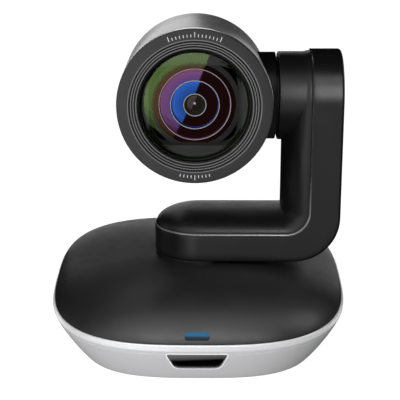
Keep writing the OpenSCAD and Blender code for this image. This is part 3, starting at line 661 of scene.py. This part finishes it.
def build_sleeve():
    """Brushed tube around the head, with a rolled front edge and a hole for the hub."""
    front = SLEEVE_FRONT
    inner_r = HEAD_R - 1.6 * MM
    hole_r = HUB_R + 0.25 * MM
    hole_from = 12 * MM
    hole_to = 45 * MM
    sleeve = turned("silver_sleeve", [
        (inner_r, front + 0.6 * MM, 0), (inner_r, front, 0), (HEAD_R - 0.9 * MM, front, 0.15 * MM),
        (HEAD_R, front + 0.8 * MM, 0.3 * MM), (HEAD_R, SLEEVE_BACK, 0.5 * MM),
        (inner_r, SLEEVE_BACK, 0), (inner_r, front + 0.6 * MM, 0)], segments=FINE)
    hole = turned_x("hub_cut", [(TIP, hole_from, 0), (hole_r, hole_from, 0),
                                (hole_r, hole_to, 0), (TIP, hole_to, 0)])
    combine(sleeve, hole, "DIFFERENCE")
    return sleeve


def build_bezel():
    """Dark lens ring: flat face, then crests that step down between grooves."""
    y = HEAD_FRONT
    back = -20 * MM
    bore_r = RING_BORE_R - 0.2 * MM
    corners = [(HEAD_R - 1.7 * MM, back, 0), (HEAD_R - 1.7 * MM, SLEEVE_FRONT - 0.1 * MM, 0),
               (HEAD_R - 0.35 * MM, SLEEVE_FRONT - 0.25 * MM, 0.1 * MM),
               (HEAD_R - 0.15 * MM, y, 0.45 * MM)]
    for k, r in enumerate(reversed(GROOVE_CRESTS)):
        d = y + 0.30 * MM * k
        corners += [(r + 0.16 * MM, d, 0.05 * MM), (r - 0.16 * MM, d + 0.06 * MM, 0.08 * MM),
                    (r - 0.30 * MM, d + 0.75 * MM, 0.05 * MM), (r - 0.60 * MM, d + 0.75 * MM, 0.05 * MM)]
    corners += [(bore_r, y + 2.4 * MM, 0.1 * MM), (bore_r, back, 0)]
    return turned("lens_ring", corners, segments=FINE, sharp_angle=50)


def build_glass_ring():
    """Black retaining ring that slopes in from the grooves to the glass."""
    y = HEAD_FRONT
    outer_r = RING_BORE_R - 0.25 * MM
    back = y + 5.2 * MM
    return turned("glass_ring", [
        (outer_r, back, 0), (outer_r, y + 3.3 * MM, 0.3 * MM), (GLASS_R + 0.9 * MM, y + 3.5 * MM, 0.4 * MM),
        (GLASS_R, y + GLASS_DEPTH, 0.2 * MM), (GLASS_R, back, 0)], segments=FINE)


def cap(radius, height, edge_y):
    """Profile of a shallow dome whose centre stands height in front of its edge."""
    steps = 14
    ball = (radius * radius + height * height) / (2 * height)
    return [(radius * k / steps if k else TIP,
             edge_y - height + ball - math.sqrt(ball * ball - (radius * k / steps) ** 2), 0)
            for k in range(steps + 1)]


def lens_dome(name, radius, height, edge_y, thickness):
    """Lens with a domed front, a ground edge and a flatter back."""
    front = cap(radius, height, edge_y)
    back = cap(radius, height * 0.35, edge_y + thickness)
    return turned(name, front + list(reversed(back)), sharp_angle=45)


def thin_ring(name, radius, width, y):
    """Fine round ring with a crowned front edge."""
    back = y + 0.5 * MM
    crown = width * 0.45
    return turned(name, [(radius - width, back, 0), (radius - width, y, crown),
                         (radius, y, crown), (radius, back, 0)])


def build_baffle():
    """Plate with a rounded rectangular window, a soft lip around it and a stepped hood behind."""
    def loop(w, h, r, y):
        points = []
        steps = 12
        for cx, cz, start in ((1, 1, 0), (-1, 1, 90), (-1, -1, 180), (1, -1, 270)):
            for k in range(steps + 1):
                a = math.radians(start + 90 * k / steps)
                points.append((LENS_X + cx * (w / 2 - r) + r * math.cos(a), y,
                               TILT_Z + cz * (h / 2 - r) + r * math.sin(a)))
        return points

    def circle(r, y):
        ring = []
        for x, _, z in loop(1.0, 1.0, 0.3, y):
            direction = Vector((x - LENS_X, 0, z - TILT_Z)).normalized()
            ring.append((LENS_X + direction.x * r, y, TILT_Z + direction.z * r))
        return ring

    w, h, r = 38.6 * MM, 34.5 * MM, 7 * MM
    y = HEAD_FRONT + GLASS_DEPTH
    rim_r = RING_BORE_R - 0.3 * MM
    rings = [circle(rim_r, y + 1.4 * MM), circle(rim_r, y), circle(21.5 * MM, y)]
    for grow, corner, depth in ((1.0, 0.5, 0), (0.5, 0.25, -0.12), (0, 0, 0.1), (-0.5, -0.2, 1.2),
                                (-3, -1.2, 3.2)):
        rings.append(loop(w + grow * MM, h + grow * MM, r + corner * MM, y + depth * MM))
    return loft("rounded_baffle", rings, sharp_angle=30)


def build_ticks():
    """Fine index ticks on the ring's face, in place of any lettering."""
    verts, faces = [], []
    spacing = 3.0
    inner_r = 29.4 * MM
    half = 0.16 * MM
    depth = Vector((0, 0.12 * MM, 0))
    middle = Vector((LENS_X, HEAD_FRONT - 0.02 * MM, TILT_Z))
    for centre, count in ((90, 15), (270, 9)):
        for k in range(count):
            a = math.radians(centre + (k - (count - 1) / 2) * spacing)
            length = (2.1 if k % 7 == (count // 2) % 7 else 1.2) * MM
            across = Vector((-math.sin(a), 0, math.cos(a))) * half
            along = Vector((math.cos(a), 0, math.sin(a)))
            b = len(verts)
            for r in (inner_r, inner_r + length):
                for side in (-1, 1):
                    corner = middle + along * r + across * side
                    verts += [corner, corner + depth]
            faces += [(b, b + 2, b + 6, b + 4), (b + 1, b + 5, b + 7, b + 3),
                      (b, b + 4, b + 5, b + 1), (b + 2, b + 3, b + 7, b + 6),
                      (b, b + 1, b + 3, b + 2), (b + 4, b + 6, b + 7, b + 5)]
    return new_object("index_ticks", verts, faces)


def build_hub():
    """Black tilt hub with a fine step and a shadow groove before the barrel."""
    start_x = 24 * MM
    end_x = BARREL_X - 0.1 * MM
    web_x = HUB_X - 2 * MM
    inner_r = HUB_R - 2.2 * MM
    neck_r = HUB_R - 2.6 * MM
    bore_r = 6 * MM
    return turned_x("hub_barrel", [
        (inner_r, start_x, 0), (HUB_R - 0.05 * MM, start_x, 0), (HUB_R, HUB_X - 2.4 * MM, 0),
        (HUB_R, HUB_X, 0.3 * MM), (neck_r, HUB_X + 0.1 * MM, 0.2 * MM), (neck_r, end_x, 0),
        (bore_r, end_x, 0), (bore_r, web_x, 0), (inner_r, web_x, 0)], segments=SMOOTH, wrap=True)


def build_rear_cover():
    """Gently domed rear cover with vent slots and recesses for its four screws."""
    y = HEAD_BACK
    outside = y + 1 * MM
    plug_r = HEAD_R - 1.8 * MM
    plug_y = SLEEVE_BACK - 2.5 * MM
    rim_y = SLEEVE_BACK + 0.15 * MM
    back = turned("rear_cap", [
        (TIP, plug_y, 0), (plug_r, plug_y, 0), (plug_r, rim_y, 0), (HEAD_R - 0.2 * MM, rim_y, 0.1 * MM),
        (HEAD_R - 0.6 * MM, SLEEVE_BACK + 1.1 * MM, 1.5 * MM), (HEAD_R - 6 * MM, y - 0.4 * MM, 6 * MM),
        (14 * MM, y, 0), (TIP, y, 0)], segments=FINE)
    vent_field = 19.0
    vent_pitch = 4.2
    for k in range(-3, 4):
        z = TILT_Z + k * vent_pitch * MM
        half = math.sqrt(vent_field ** 2 - (k * vent_pitch) ** 2) * MM * 0.9
        slot = rectangle((LENS_X - half, z - 0.8 * MM), (LENS_X + half, z + 0.8 * MM), 0.79 * MM)
        combine(back, prism_y("vent_cut", slot, y - 2.0 * MM, outside), "DIFFERENCE", 30)
    screw_ring = 27 * MM
    screw_r = 2.6 * MM
    for k in range(4):
        a = math.radians(45 + 90 * k)
        cx = LENS_X + screw_ring * math.cos(a)
        cz = TILT_Z + screw_ring * math.sin(a)
        ring = [(cx + screw_r * math.cos(t), cz + screw_r * math.sin(t)) for t in turn(32)]
        combine(back, prism_y("screw_cut", ring, SLEEVE_BACK + 1.65 * MM, outside), "DIFFERENCE", 30)
    return back


# ---- Materials ----

class Look:
    """A Principled material with helpers for procedural detail in object space."""

    def __init__(self, name, colour, rough, metal=0.0, specular=0.5):
        self.material = bpy.data.materials.new(name)
        self.material.use_nodes = True
        self.nodes = self.material.node_tree.nodes
        self.links = self.material.node_tree.links
        self.shader = self.nodes["Principled BSDF"]
        self.shader.inputs["Base Color"].default_value = (*colour, 1)
        self.shader.inputs["Roughness"].default_value = rough
        self.shader.inputs["Metallic"].default_value = metal
        self.shader.inputs["Specular IOR Level"].default_value = specular
        self.coords = self.nodes.new("ShaderNodeTexCoord").outputs["Object"]

    def noise(self, scale, detail=3.0, stretch=None):
        coords = self.coords
        if stretch:
            mapping = self.nodes.new("ShaderNodeMapping")
            mapping.inputs["Scale"].default_value = stretch
            self.links.new(coords, mapping.inputs["Vector"])
            coords = mapping.outputs["Vector"]
        noise = self.nodes.new("ShaderNodeTexNoise")
        noise.inputs["Scale"].default_value = scale
        noise.inputs["Detail"].default_value = detail
        self.links.new(coords, noise.inputs["Vector"])
        return noise.outputs["Fac"]

    def remap(self, value, from_low, from_high, to_low=0.0, to_high=1.0):
        """Maps one range of a value onto another and holds it at the ends."""
        scale = self.nodes.new("ShaderNodeMapRange")
        scale.inputs["From Min"].default_value = from_low
        scale.inputs["From Max"].default_value = from_high
        scale.inputs["To Min"].default_value = to_low
        scale.inputs["To Max"].default_value = to_high
        self.links.new(value, scale.inputs["Value"])
        return scale.outputs["Result"]

    def ramp(self, value, stops):
        """Colour ramp over 0 to 1. Stops are (position, colour)."""
        ramp = self.nodes.new("ShaderNodeValToRGB")
        elements = ramp.color_ramp.elements
        while len(elements) < len(stops):
            elements.new(0.5)
        for element, (place, colour) in zip(elements, stops):
            element.position = place
            element.color = (*colour, 1)
        self.links.new(value, ramp.inputs["Fac"])
        return ramp.outputs["Color"]

    def paint_over(self, value, low, high, stops, socket="Base Color"):
        """Sets a socket from a colour ramp over a range of a value."""
        self.links.new(self.ramp(self.remap(value, low, high), stops), self.shader.inputs[socket])

    def vary_rough(self, value, low, high):
        """Takes roughness from the middle of a texture's range."""
        self.links.new(self.remap(value, 0.3, 0.7, low, high), self.shader.inputs["Roughness"])

    def vary_colour(self, value, dark, light):
        """Takes colour from the middle of a texture's range."""
        self.links.new(self.ramp(value, [(0.3, dark), (0.7, light)]), self.shader.inputs["Base Color"])

    def along(self, axis):
        """Place along an axis, in metres."""
        split = self.nodes.new("ShaderNodeSeparateXYZ")
        self.links.new(self.coords, split.inputs[0])
        return split.outputs[axis]

    def from_lens_axis(self):
        """Distance from the lens axis, in metres."""
        centre = self.nodes.new("ShaderNodeVectorMath")
        centre.operation = "SUBTRACT"
        centre.inputs[1].default_value = (LENS_X, 0, TILT_Z)
        flat = self.nodes.new("ShaderNodeVectorMath")
        flat.operation = "MULTIPLY"
        flat.inputs[1].default_value = (1, 0, 1)
        length = self.nodes.new("ShaderNodeVectorMath")
        length.operation = "LENGTH"
        self.links.new(self.coords, centre.inputs[0])
        self.links.new(centre.outputs[0], flat.inputs[0])
        self.links.new(flat.outputs[0], length.inputs[0])
        return length.outputs["Value"]

    def glow(self, colour):
        """Even glow of a surface, not sampled as a light."""
        self.shader.inputs["Emission Color"].default_value = (*colour, 1)
        self.shader.inputs["Emission Strength"].default_value = 1.0
        self.material.cycles.emission_sampling = "NONE"

    def bump(self, value, distance):
        bump = self.nodes.new("ShaderNodeBump")
        bump.inputs["Distance"].default_value = distance
        bump.inputs["Strength"].default_value = 1.0
        self.links.new(value, bump.inputs["Height"])
        self.links.new(bump.outputs["Normal"], self.shader.inputs["Normal"])


def plastic(name, colour, rough, depth=0.004, specular=0.5):
    """Moulded plastic with a fine spark-eroded grain and slight wear in its gloss."""
    look = Look(name, colour, rough, specular=specular)
    light = tuple(c * 1.18 for c in colour)
    dark = tuple(c * 0.86 for c in colour)
    look.vary_colour(look.noise(60, 4), dark, light)
    look.vary_rough(look.noise(140, 5), rough * 0.92, rough * 1.1)
    look.bump(look.noise(GRAIN, 2), depth * MM)
    return look.material


def silver_paint():
    """Satin silver paint with fine metal flakes in it."""
    look = Look("silver_paint", (0.60, 0.60, 0.61), 0.36, metal=0.25)
    look.vary_colour(look.noise(4200, 1), (0.55, 0.55, 0.56), (0.64, 0.64, 0.65))
    look.vary_rough(look.noise(90, 4), 0.33, 0.40)
    look.bump(look.noise(2600, 2), 0.002 * MM)
    return look.material


def brushed_silver():
    """Aluminium brushed around the lens axis, so that it shines in stripes along that axis."""
    look = Look("brushed_silver", (0.5, 0.5, 0.51), 0.32, metal=0.95)
    streaks = look.noise(900, 3, stretch=(0.12, 3.0, 0.12))
    look.vary_colour(streaks, (0.52, 0.52, 0.53), (0.64, 0.64, 0.65))
    look.vary_rough(streaks, 0.24, 0.34)
    look.shader.inputs["Anisotropic"].default_value = 0.85
    tangent = look.nodes.new("ShaderNodeTangent")
    tangent.direction_type = "RADIAL"
    tangent.axis = "Y"
    look.links.new(tangent.outputs["Tangent"], look.shader.inputs["Tangent"])
    return look.material


def steel():
    look = Look("steel", (0.55, 0.56, 0.57), 0.3, metal=1.0)
    look.vary_rough(look.noise(700, 4, stretch=(1, 1, 0.2)), 0.24, 0.42)
    look.bump(look.noise(1500, 3), 0.003 * MM)
    return look.material


def brass():
    look = Look("turned_brass", (0.72, 0.52, 0.22), 0.25, metal=1.0)
    look.vary_rough(look.noise(800, 4, stretch=(1, 1, 6)), 0.2, 0.38)
    return look.material


def rubber():
    look = Look("rubber", (0.018, 0.018, 0.018), 0.75, specular=0.3)
    look.vary_rough(look.noise(300, 5), 0.68, 0.85)
    look.bump(look.noise(900, 4), 0.02 * MM)
    return look.material


def nylon():
    look = Look("nylon", (0.78, 0.77, 0.70), 0.4)
    look.shader.inputs["Subsurface Weight"].default_value = 0.2
    look.shader.inputs["Subsurface Radius"].default_value = (0.002, 0.002, 0.0015)
    look.bump(look.noise(900, 3), 0.004 * MM)
    return look.material


def circuit_board():
    look = Look("circuit_board", (0.01, 0.12, 0.05), 0.32)
    cells = look.nodes.new("ShaderNodeTexVoronoi")
    cells.inputs["Scale"].default_value = 420
    cells.distance = "MANHATTAN"
    look.links.new(look.coords, cells.inputs["Vector"])
    look.vary_colour(cells.outputs["Distance"], (0.02, 0.2, 0.09), (0.006, 0.09, 0.035))
    return look.material


def ribbon():
    look = Look("ribbon_cable", (0.6, 0.55, 0.4), 0.5)
    wave = look.nodes.new("ShaderNodeTexWave")
    wave.bands_direction = "Y"
    wave.inputs["Scale"].default_value = 320
    look.links.new(look.coords, wave.inputs["Vector"])
    look.vary_colour(wave.outputs["Fac"], (0.45, 0.4, 0.28), (0.68, 0.63, 0.48))
    look.bump(wave.outputs["Fac"], 0.1 * MM)
    return look.material


def gloss_black(name, rough=0.12, colour=(0.006, 0.005, 0.006), specular=0.5):
    look = Look(name, colour, rough, specular=specular)
    look.vary_rough(look.noise(50, 4), rough * 0.8, rough * 1.3)
    return look.material


def painted_seam_highlight():
    """Painted highlight along the seam of the foot, fading to black up the column as painted shade."""
    look = Look("painted_seam_highlight", (0.25, 0.25, 0.25), 0.25, metal=0.6)
    # painted highlight at the foot, darkened up the column where the light falls less (painted shade)
    look.paint_over(look.along("Z"), 62 * MM, 82 * MM, [
        (0.0, (0.25, 0.25, 0.25)), (1.0, (0.03, 0.03, 0.03))])
    look.vary_rough(look.noise(200, 3), 0.22, 0.32)
    return look.material


def window_black():
    """Smoked window with a painted reflection: paler towards its upper left, as if light from there shines
    on it, near black below.
    """
    look = Look("ir_black", (0.006, 0.006, 0.006), 0.14)
    look.vary_rough(look.noise(50, 4), 0.11, 0.18)
    painted_reflection_level = look.nodes.new("ShaderNodeMath")
    painted_reflection_level.operation = "MULTIPLY_ADD"
    painted_reflection_level.inputs[1].default_value = -0.06
    look.links.new(look.along("X"), painted_reflection_level.inputs[0])
    look.links.new(look.along("Z"), painted_reflection_level.inputs[2])
    # painted reflection: upper left of the window paler, lower part near black
    look.paint_over(painted_reflection_level.outputs["Value"], 13.0 * MM, 17.0 * MM, [
        (0.0, (0.0008, 0.0008, 0.0008)), (0.35, (0.06, 0.06, 0.06)), (1.0, (0.14, 0.14, 0.14))])
    return look.material


def lit_blue():
    """Light pipe that glows in its upper part; its lower part is kept dark as painted shade of the recess.
    """
    look = Look("lit_blue", (0.002, 0.006, 0.012), 0.4, specular=0.15)
    # glow fades out towards the bottom: painted shade of the recess, the upper glow is the lit LED
    fade = look.remap(look.along("Z"), 24.1 * MM, 24.8 * MM, 0.0, 0.25)
    look.shader.inputs["Emission Color"].default_value = (0.02, 0.45, 1.0, 1)
    look.links.new(fade, look.shader.inputs["Emission Strength"])
    return look.material


def ring_look():
    """Charcoal ring whose groove crests carry a painted highlight and whose grooves carry painted shade."""
    face = (0.036, 0.036, 0.037)
    look = Look("ring_charcoal", face, 0.5)
    # painted highlight on each crest and painted shade in each groove
    crest = (0.20, 0.20, 0.20)
    painted_groove_shade = (0.010, 0.010, 0.010)
    low, high = RING_BORE_R, 28.8 * MM
    stops = []
    for crest_r in GROOVE_CRESTS:
        place = (crest_r - low) / (high - low)
        stops += [(place - 0.07, painted_groove_shade), (place - 0.025, crest), (place + 0.025, crest),
                  (place + 0.07, painted_groove_shade)]
    stops[-1] = (stops[-1][0], face)
    look.paint_over(look.from_lens_axis(), low, high, stops)
    look.vary_rough(look.noise(140, 5), 0.46, 0.55)
    look.bump(look.noise(GRAIN, 2), 0.002 * MM)
    return look.material


def coated_lens(name, low, high, stops, glow=MAROON_PAINTED_GLOW):
    """Dark lens whose coating changes colour from its middle (low) to its edge (high).

    glow is a faint painted glow, not from any lamp, that tints the lens's dark side.
    """
    rough = 0.06
    look = Look(name, stops[0][1], rough, metal=1.0)
    look.paint_over(look.from_lens_axis(), low, high, stops)
    # painted glow: the lens shines faintly though it is no lamp
    look.glow(glow)
    look.vary_rough(look.noise(40, 3), rough * 0.9, rough * 1.1)
    return look.material


def cover_glass_look():
    """Clear front glass: its green coating shines towards the edge and is faint in the middle."""
    look = Look("cover_glass_coating", (0.3, 0.6, 0.1), 0.03, metal=1.0)
    radius = look.from_lens_axis()
    inner_r = 14.5 * MM
    look.paint_over(radius, inner_r, GLASS_R, [
        (0.0, (0.05, 0.02, 0.02)), (0.22, (0.14, 0.08, 0.04)), (0.42, (0.20, 0.20, 0.05)),
        (0.55, (0.32, 0.55, 0.11)), (1.0, (0.34, 0.58, 0.19))])
    look.paint_over(radius, inner_r, GLASS_R, [
        (0.0, (0.20, 0.20, 0.20)), (1.0, (0.24, 0.24, 0.24))], "Alpha")
    return look.material


def floor_material():
    look = Look("studio_floor", (0.85, 0.85, 0.85), 0.7, specular=0.2)
    look.glow((1, 1, 1))
    look.vary_rough(look.noise(30, 2), 0.6, 0.8)
    return look.material


# ---- Putting it together ----

def dress_base():
    silver = silver_paint()
    charcoal = plastic("charcoal_plastic", (0.008, 0.008, 0.0085), 0.42, depth=0.006, specular=0.6)
    black = plastic("black_plastic", (0.012, 0.012, 0.013), 0.36)
    finish_piece(build_top_cover(), "base", "charcoal_matte", charcoal, "base_top_cover")
    finish_piece(build_lower_shell(), "base", "silver_satin", silver, "base_lower_shell")
    led = window_piece("led_window", led_outline(0), dome_front_y, -HALF_D, -52 * MM, 0.35 * MM)
    finish_piece(led, "base", "led_blue", lit_blue(), "led_light_pipe")
    # the frame's near-white colour is a painted highlight on the window's edge, brighter than the silver
    # shell
    bright = Look("window_frame_painted_highlight", (0.90, 0.90, 0.90), 0.3, metal=0.1)
    bright.vary_rough(bright.noise(120, 4), 0.27, 0.36)
    finish_piece(build_window_frame(), "base", "silver_satin", bright.material)
    window = window_piece("ir_pane", ir_outline(0), bowl_front_y, -HALF_D - MM, -54 * MM, 0.8 * MM)
    finish_piece(window, "base", "window_black", window_black(), "ir_window")
    for node in ("rear_port_panel", "turntable"):
        repaint(node, black)
    for node in ("mini_din_socket", "dc_jack"):
        repaint(node, plastic("socket_black", (0.02, 0.02, 0.021), 0.3, depth=0.002))
    repaint("rubber_foot", rubber())


def dress_arm():
    black = plastic("arm_black", (0.006, 0.006, 0.0063), 0.30, depth=0.003)
    cover = plastic("arm_charcoal", (0.007, 0.007, 0.0073), 0.38, depth=0.004)
    finish_piece(build_band(), "arm", "black_satin", black, "arm_outer_band")
    finish_piece(build_inner_cover(), "arm", "charcoal_matte", cover, "arm_inner_cover")
    finish_piece(build_seam_line(), "arm", "black_satin", painted_seam_highlight())


def dress_head():
    black = plastic("head_black", (0.008, 0.008, 0.0083), 0.36)
    ring = ring_look()
    inner = gloss_black("ring_black", 0.3, (0.002, 0.002, 0.002), 0.25)
    deep = plastic("barrel_black", (0.050, 0.050, 0.050), 0.6)
    finish_piece(build_sleeve(), "head", "silver_brushed", brushed_silver(), "head_sleeve")
    finish_piece(build_bezel(), "head", "bezel_black", ring, "lens_bezel")
    finish_piece(build_glass_ring(), "head", "black_satin", inner)
    finish_piece(build_baffle(), "head", "black_satin", deep, "lens_baffle")
    ticks = build_ticks()
    finish_piece(ticks, "head", "bezel_black", plastic("tick_white", (0.75, 0.75, 0.75), 0.5))
    y = HEAD_FRONT
    glass = annulus("cover_glass", GLASS_R + 0.2 * MM, 15.3 * MM, y + 4.4 * MM, 60 * MM, None)
    finish_piece(glass, "head", "optics", cover_glass_look(), "front_glass")
    dress_lens(y)
    finish_piece(build_rear_cover(), "head", "black_satin", black, "head_rear_cover")
    hub = build_hub()
    finish_piece(hub, "head", "black_satin", black, "tilt_hub")


def annulus(name, outer_r, inner_r, edge_y, ball, skirt):
    """Ring-shaped part of a domed lens: its front lies on a ball, its edge at edge_y.

    With no skirt it is the front surface alone.
    """
    steps = 12
    drop = math.sqrt(ball * ball - outer_r * outer_r)
    front = []
    for k in range(steps + 1):
        r = outer_r + (inner_r - outer_r) * k / steps
        front.append((r, edge_y - (math.sqrt(ball * ball - r * r) - drop), 0))
    if skirt is None:
        return turned(name, front, segments=FINE, sharp_angle=45)
    back = [(inner_r, edge_y + skirt, 0), (outer_r, edge_y + skirt, 0)]
    return turned(name, front + back + [front[0]], segments=FINE, sharp_angle=45)


def dress_lens(y):
    """Lens stack behind the cover glass: coated domes between fine bright rings."""
    coats = (
        ("outer_lens", 18.6, 15.3, 7.0, 70, "coat_brown", (), [
            (0.0, (0.10, 0.03, 0.03)), (0.5, (0.05, 0.03, 0.015)), (1.0, (0.015, 0.02, 0.01))]),
        ("front_element", 15.2, 10.4, 6.7, 55, "coat_violet", ("front_lens",), [
            (0.0, (0.07, 0.06, 0.20)), (0.5, (0.16, 0.06, 0.20)), (0.85, (0.22, 0.09, 0.21)),
            (1.0, (0.14, 0.05, 0.09))]),
        ("second_element", 10.3, 4.8, 6.4, 40, "coat_blue", (), [
            (0.0, (0.006, 0.06, 0.24)), (0.5, (0.012, 0.085, 0.38)), (1.0, (0.03, 0.12, 0.56))]))
    for name, outer_r, inner_r, depth, ball, coat, nodes, stops in coats:
        lens = annulus(name, outer_r * MM, inner_r * MM, y + depth * MM, ball * MM, 3 * MM)
        look = coated_lens(coat, inner_r * MM, outer_r * MM, stops)
        finish_piece(lens, "head", "optics", look, *nodes)
    pupil = lens_dome("inner_element", 4.7 * MM, 1.0 * MM, y + 7.6 * MM, 0.5 * MM)
    finish_piece(pupil, "head", "optics", coated_lens("coat_dark", 0.0, 4.8 * MM, [
        (0.0, (0.05, 0.04, 0.05)), (0.6, (0.04, 0.03, 0.03)), (1.0, (0.12, 0.08, 0.02))],
        glow=OLIVE_PAINTED_GLOW))
    bright = Look("ring_edge", (0.45, 0.45, 0.48), 0.35, metal=0.3)
    bright.vary_rough(bright.noise(300, 3), 0.3, 0.42)
    for name, radius, place in (("edge_ring_a", 15.4, 6.0), ("edge_ring_b", 10.5, 5.4),
                                ("edge_ring_c", 4.9, 5.2)):
        rim = thin_ring(name, radius * MM, 0.35 * MM, y + place * MM)
        finish_piece(rim, "head", "steel", bright.material)


def repaint(node, material):
    mesh = frame["nodes"][node].data
    mesh.materials.clear()
    mesh.materials.append(material)


def dress_inside():
    """Materials of the CAD pieces that stay as they are."""
    looks = {
        steel(): ("ballast_plate", "board_screws", "lock_plate", "frame_screws", "base_screws",
                  "pan_motor", "pan_outer_race", "pan_bearing_balls", "pan_inner_race",
                  "arm_frame", "turntable_screws", "tilt_motor", "guide_rods", "tilt_axle",
                  "axle_ring", "lens_motors", "rear_cover_screws", "zoom_screw", "focus_screw",
                  "pan_frame"),
        brass(): ("tripod_bush", "pan_pinion", "spindle_nut", "tilt_bushes", "tilt_pinion"),
        nylon(): ("pan_gear", "tilt_gear"),
        circuit_board(): ("main_board", "front_board", "sensor_board", "camera_board"),
        ribbon(): ("arm_ribbon_cable",),
        gloss_black("sensor_glass"): ("image_sensor", "ir_receiver"),
        plastic("cell_black", (0.012, 0.012, 0.013), 0.5): ("lens_barrel", "zoom_cell", "focus_cell"),
        coated_lens("coat_inner", 0.0, 12 * MM, [(0.0, (0.1, 0.2, 0.5)), (1.0, (0.3, 0.1, 0.4))]):
            ("zoom_lens", "focus_lens"),
    }
    for material, nodes in looks.items():
        for node in nodes:
            repaint(node, material)


make_camera()
make_room()
dress_base()
dress_arm()
dress_head()
dress_inside()
make_studio()
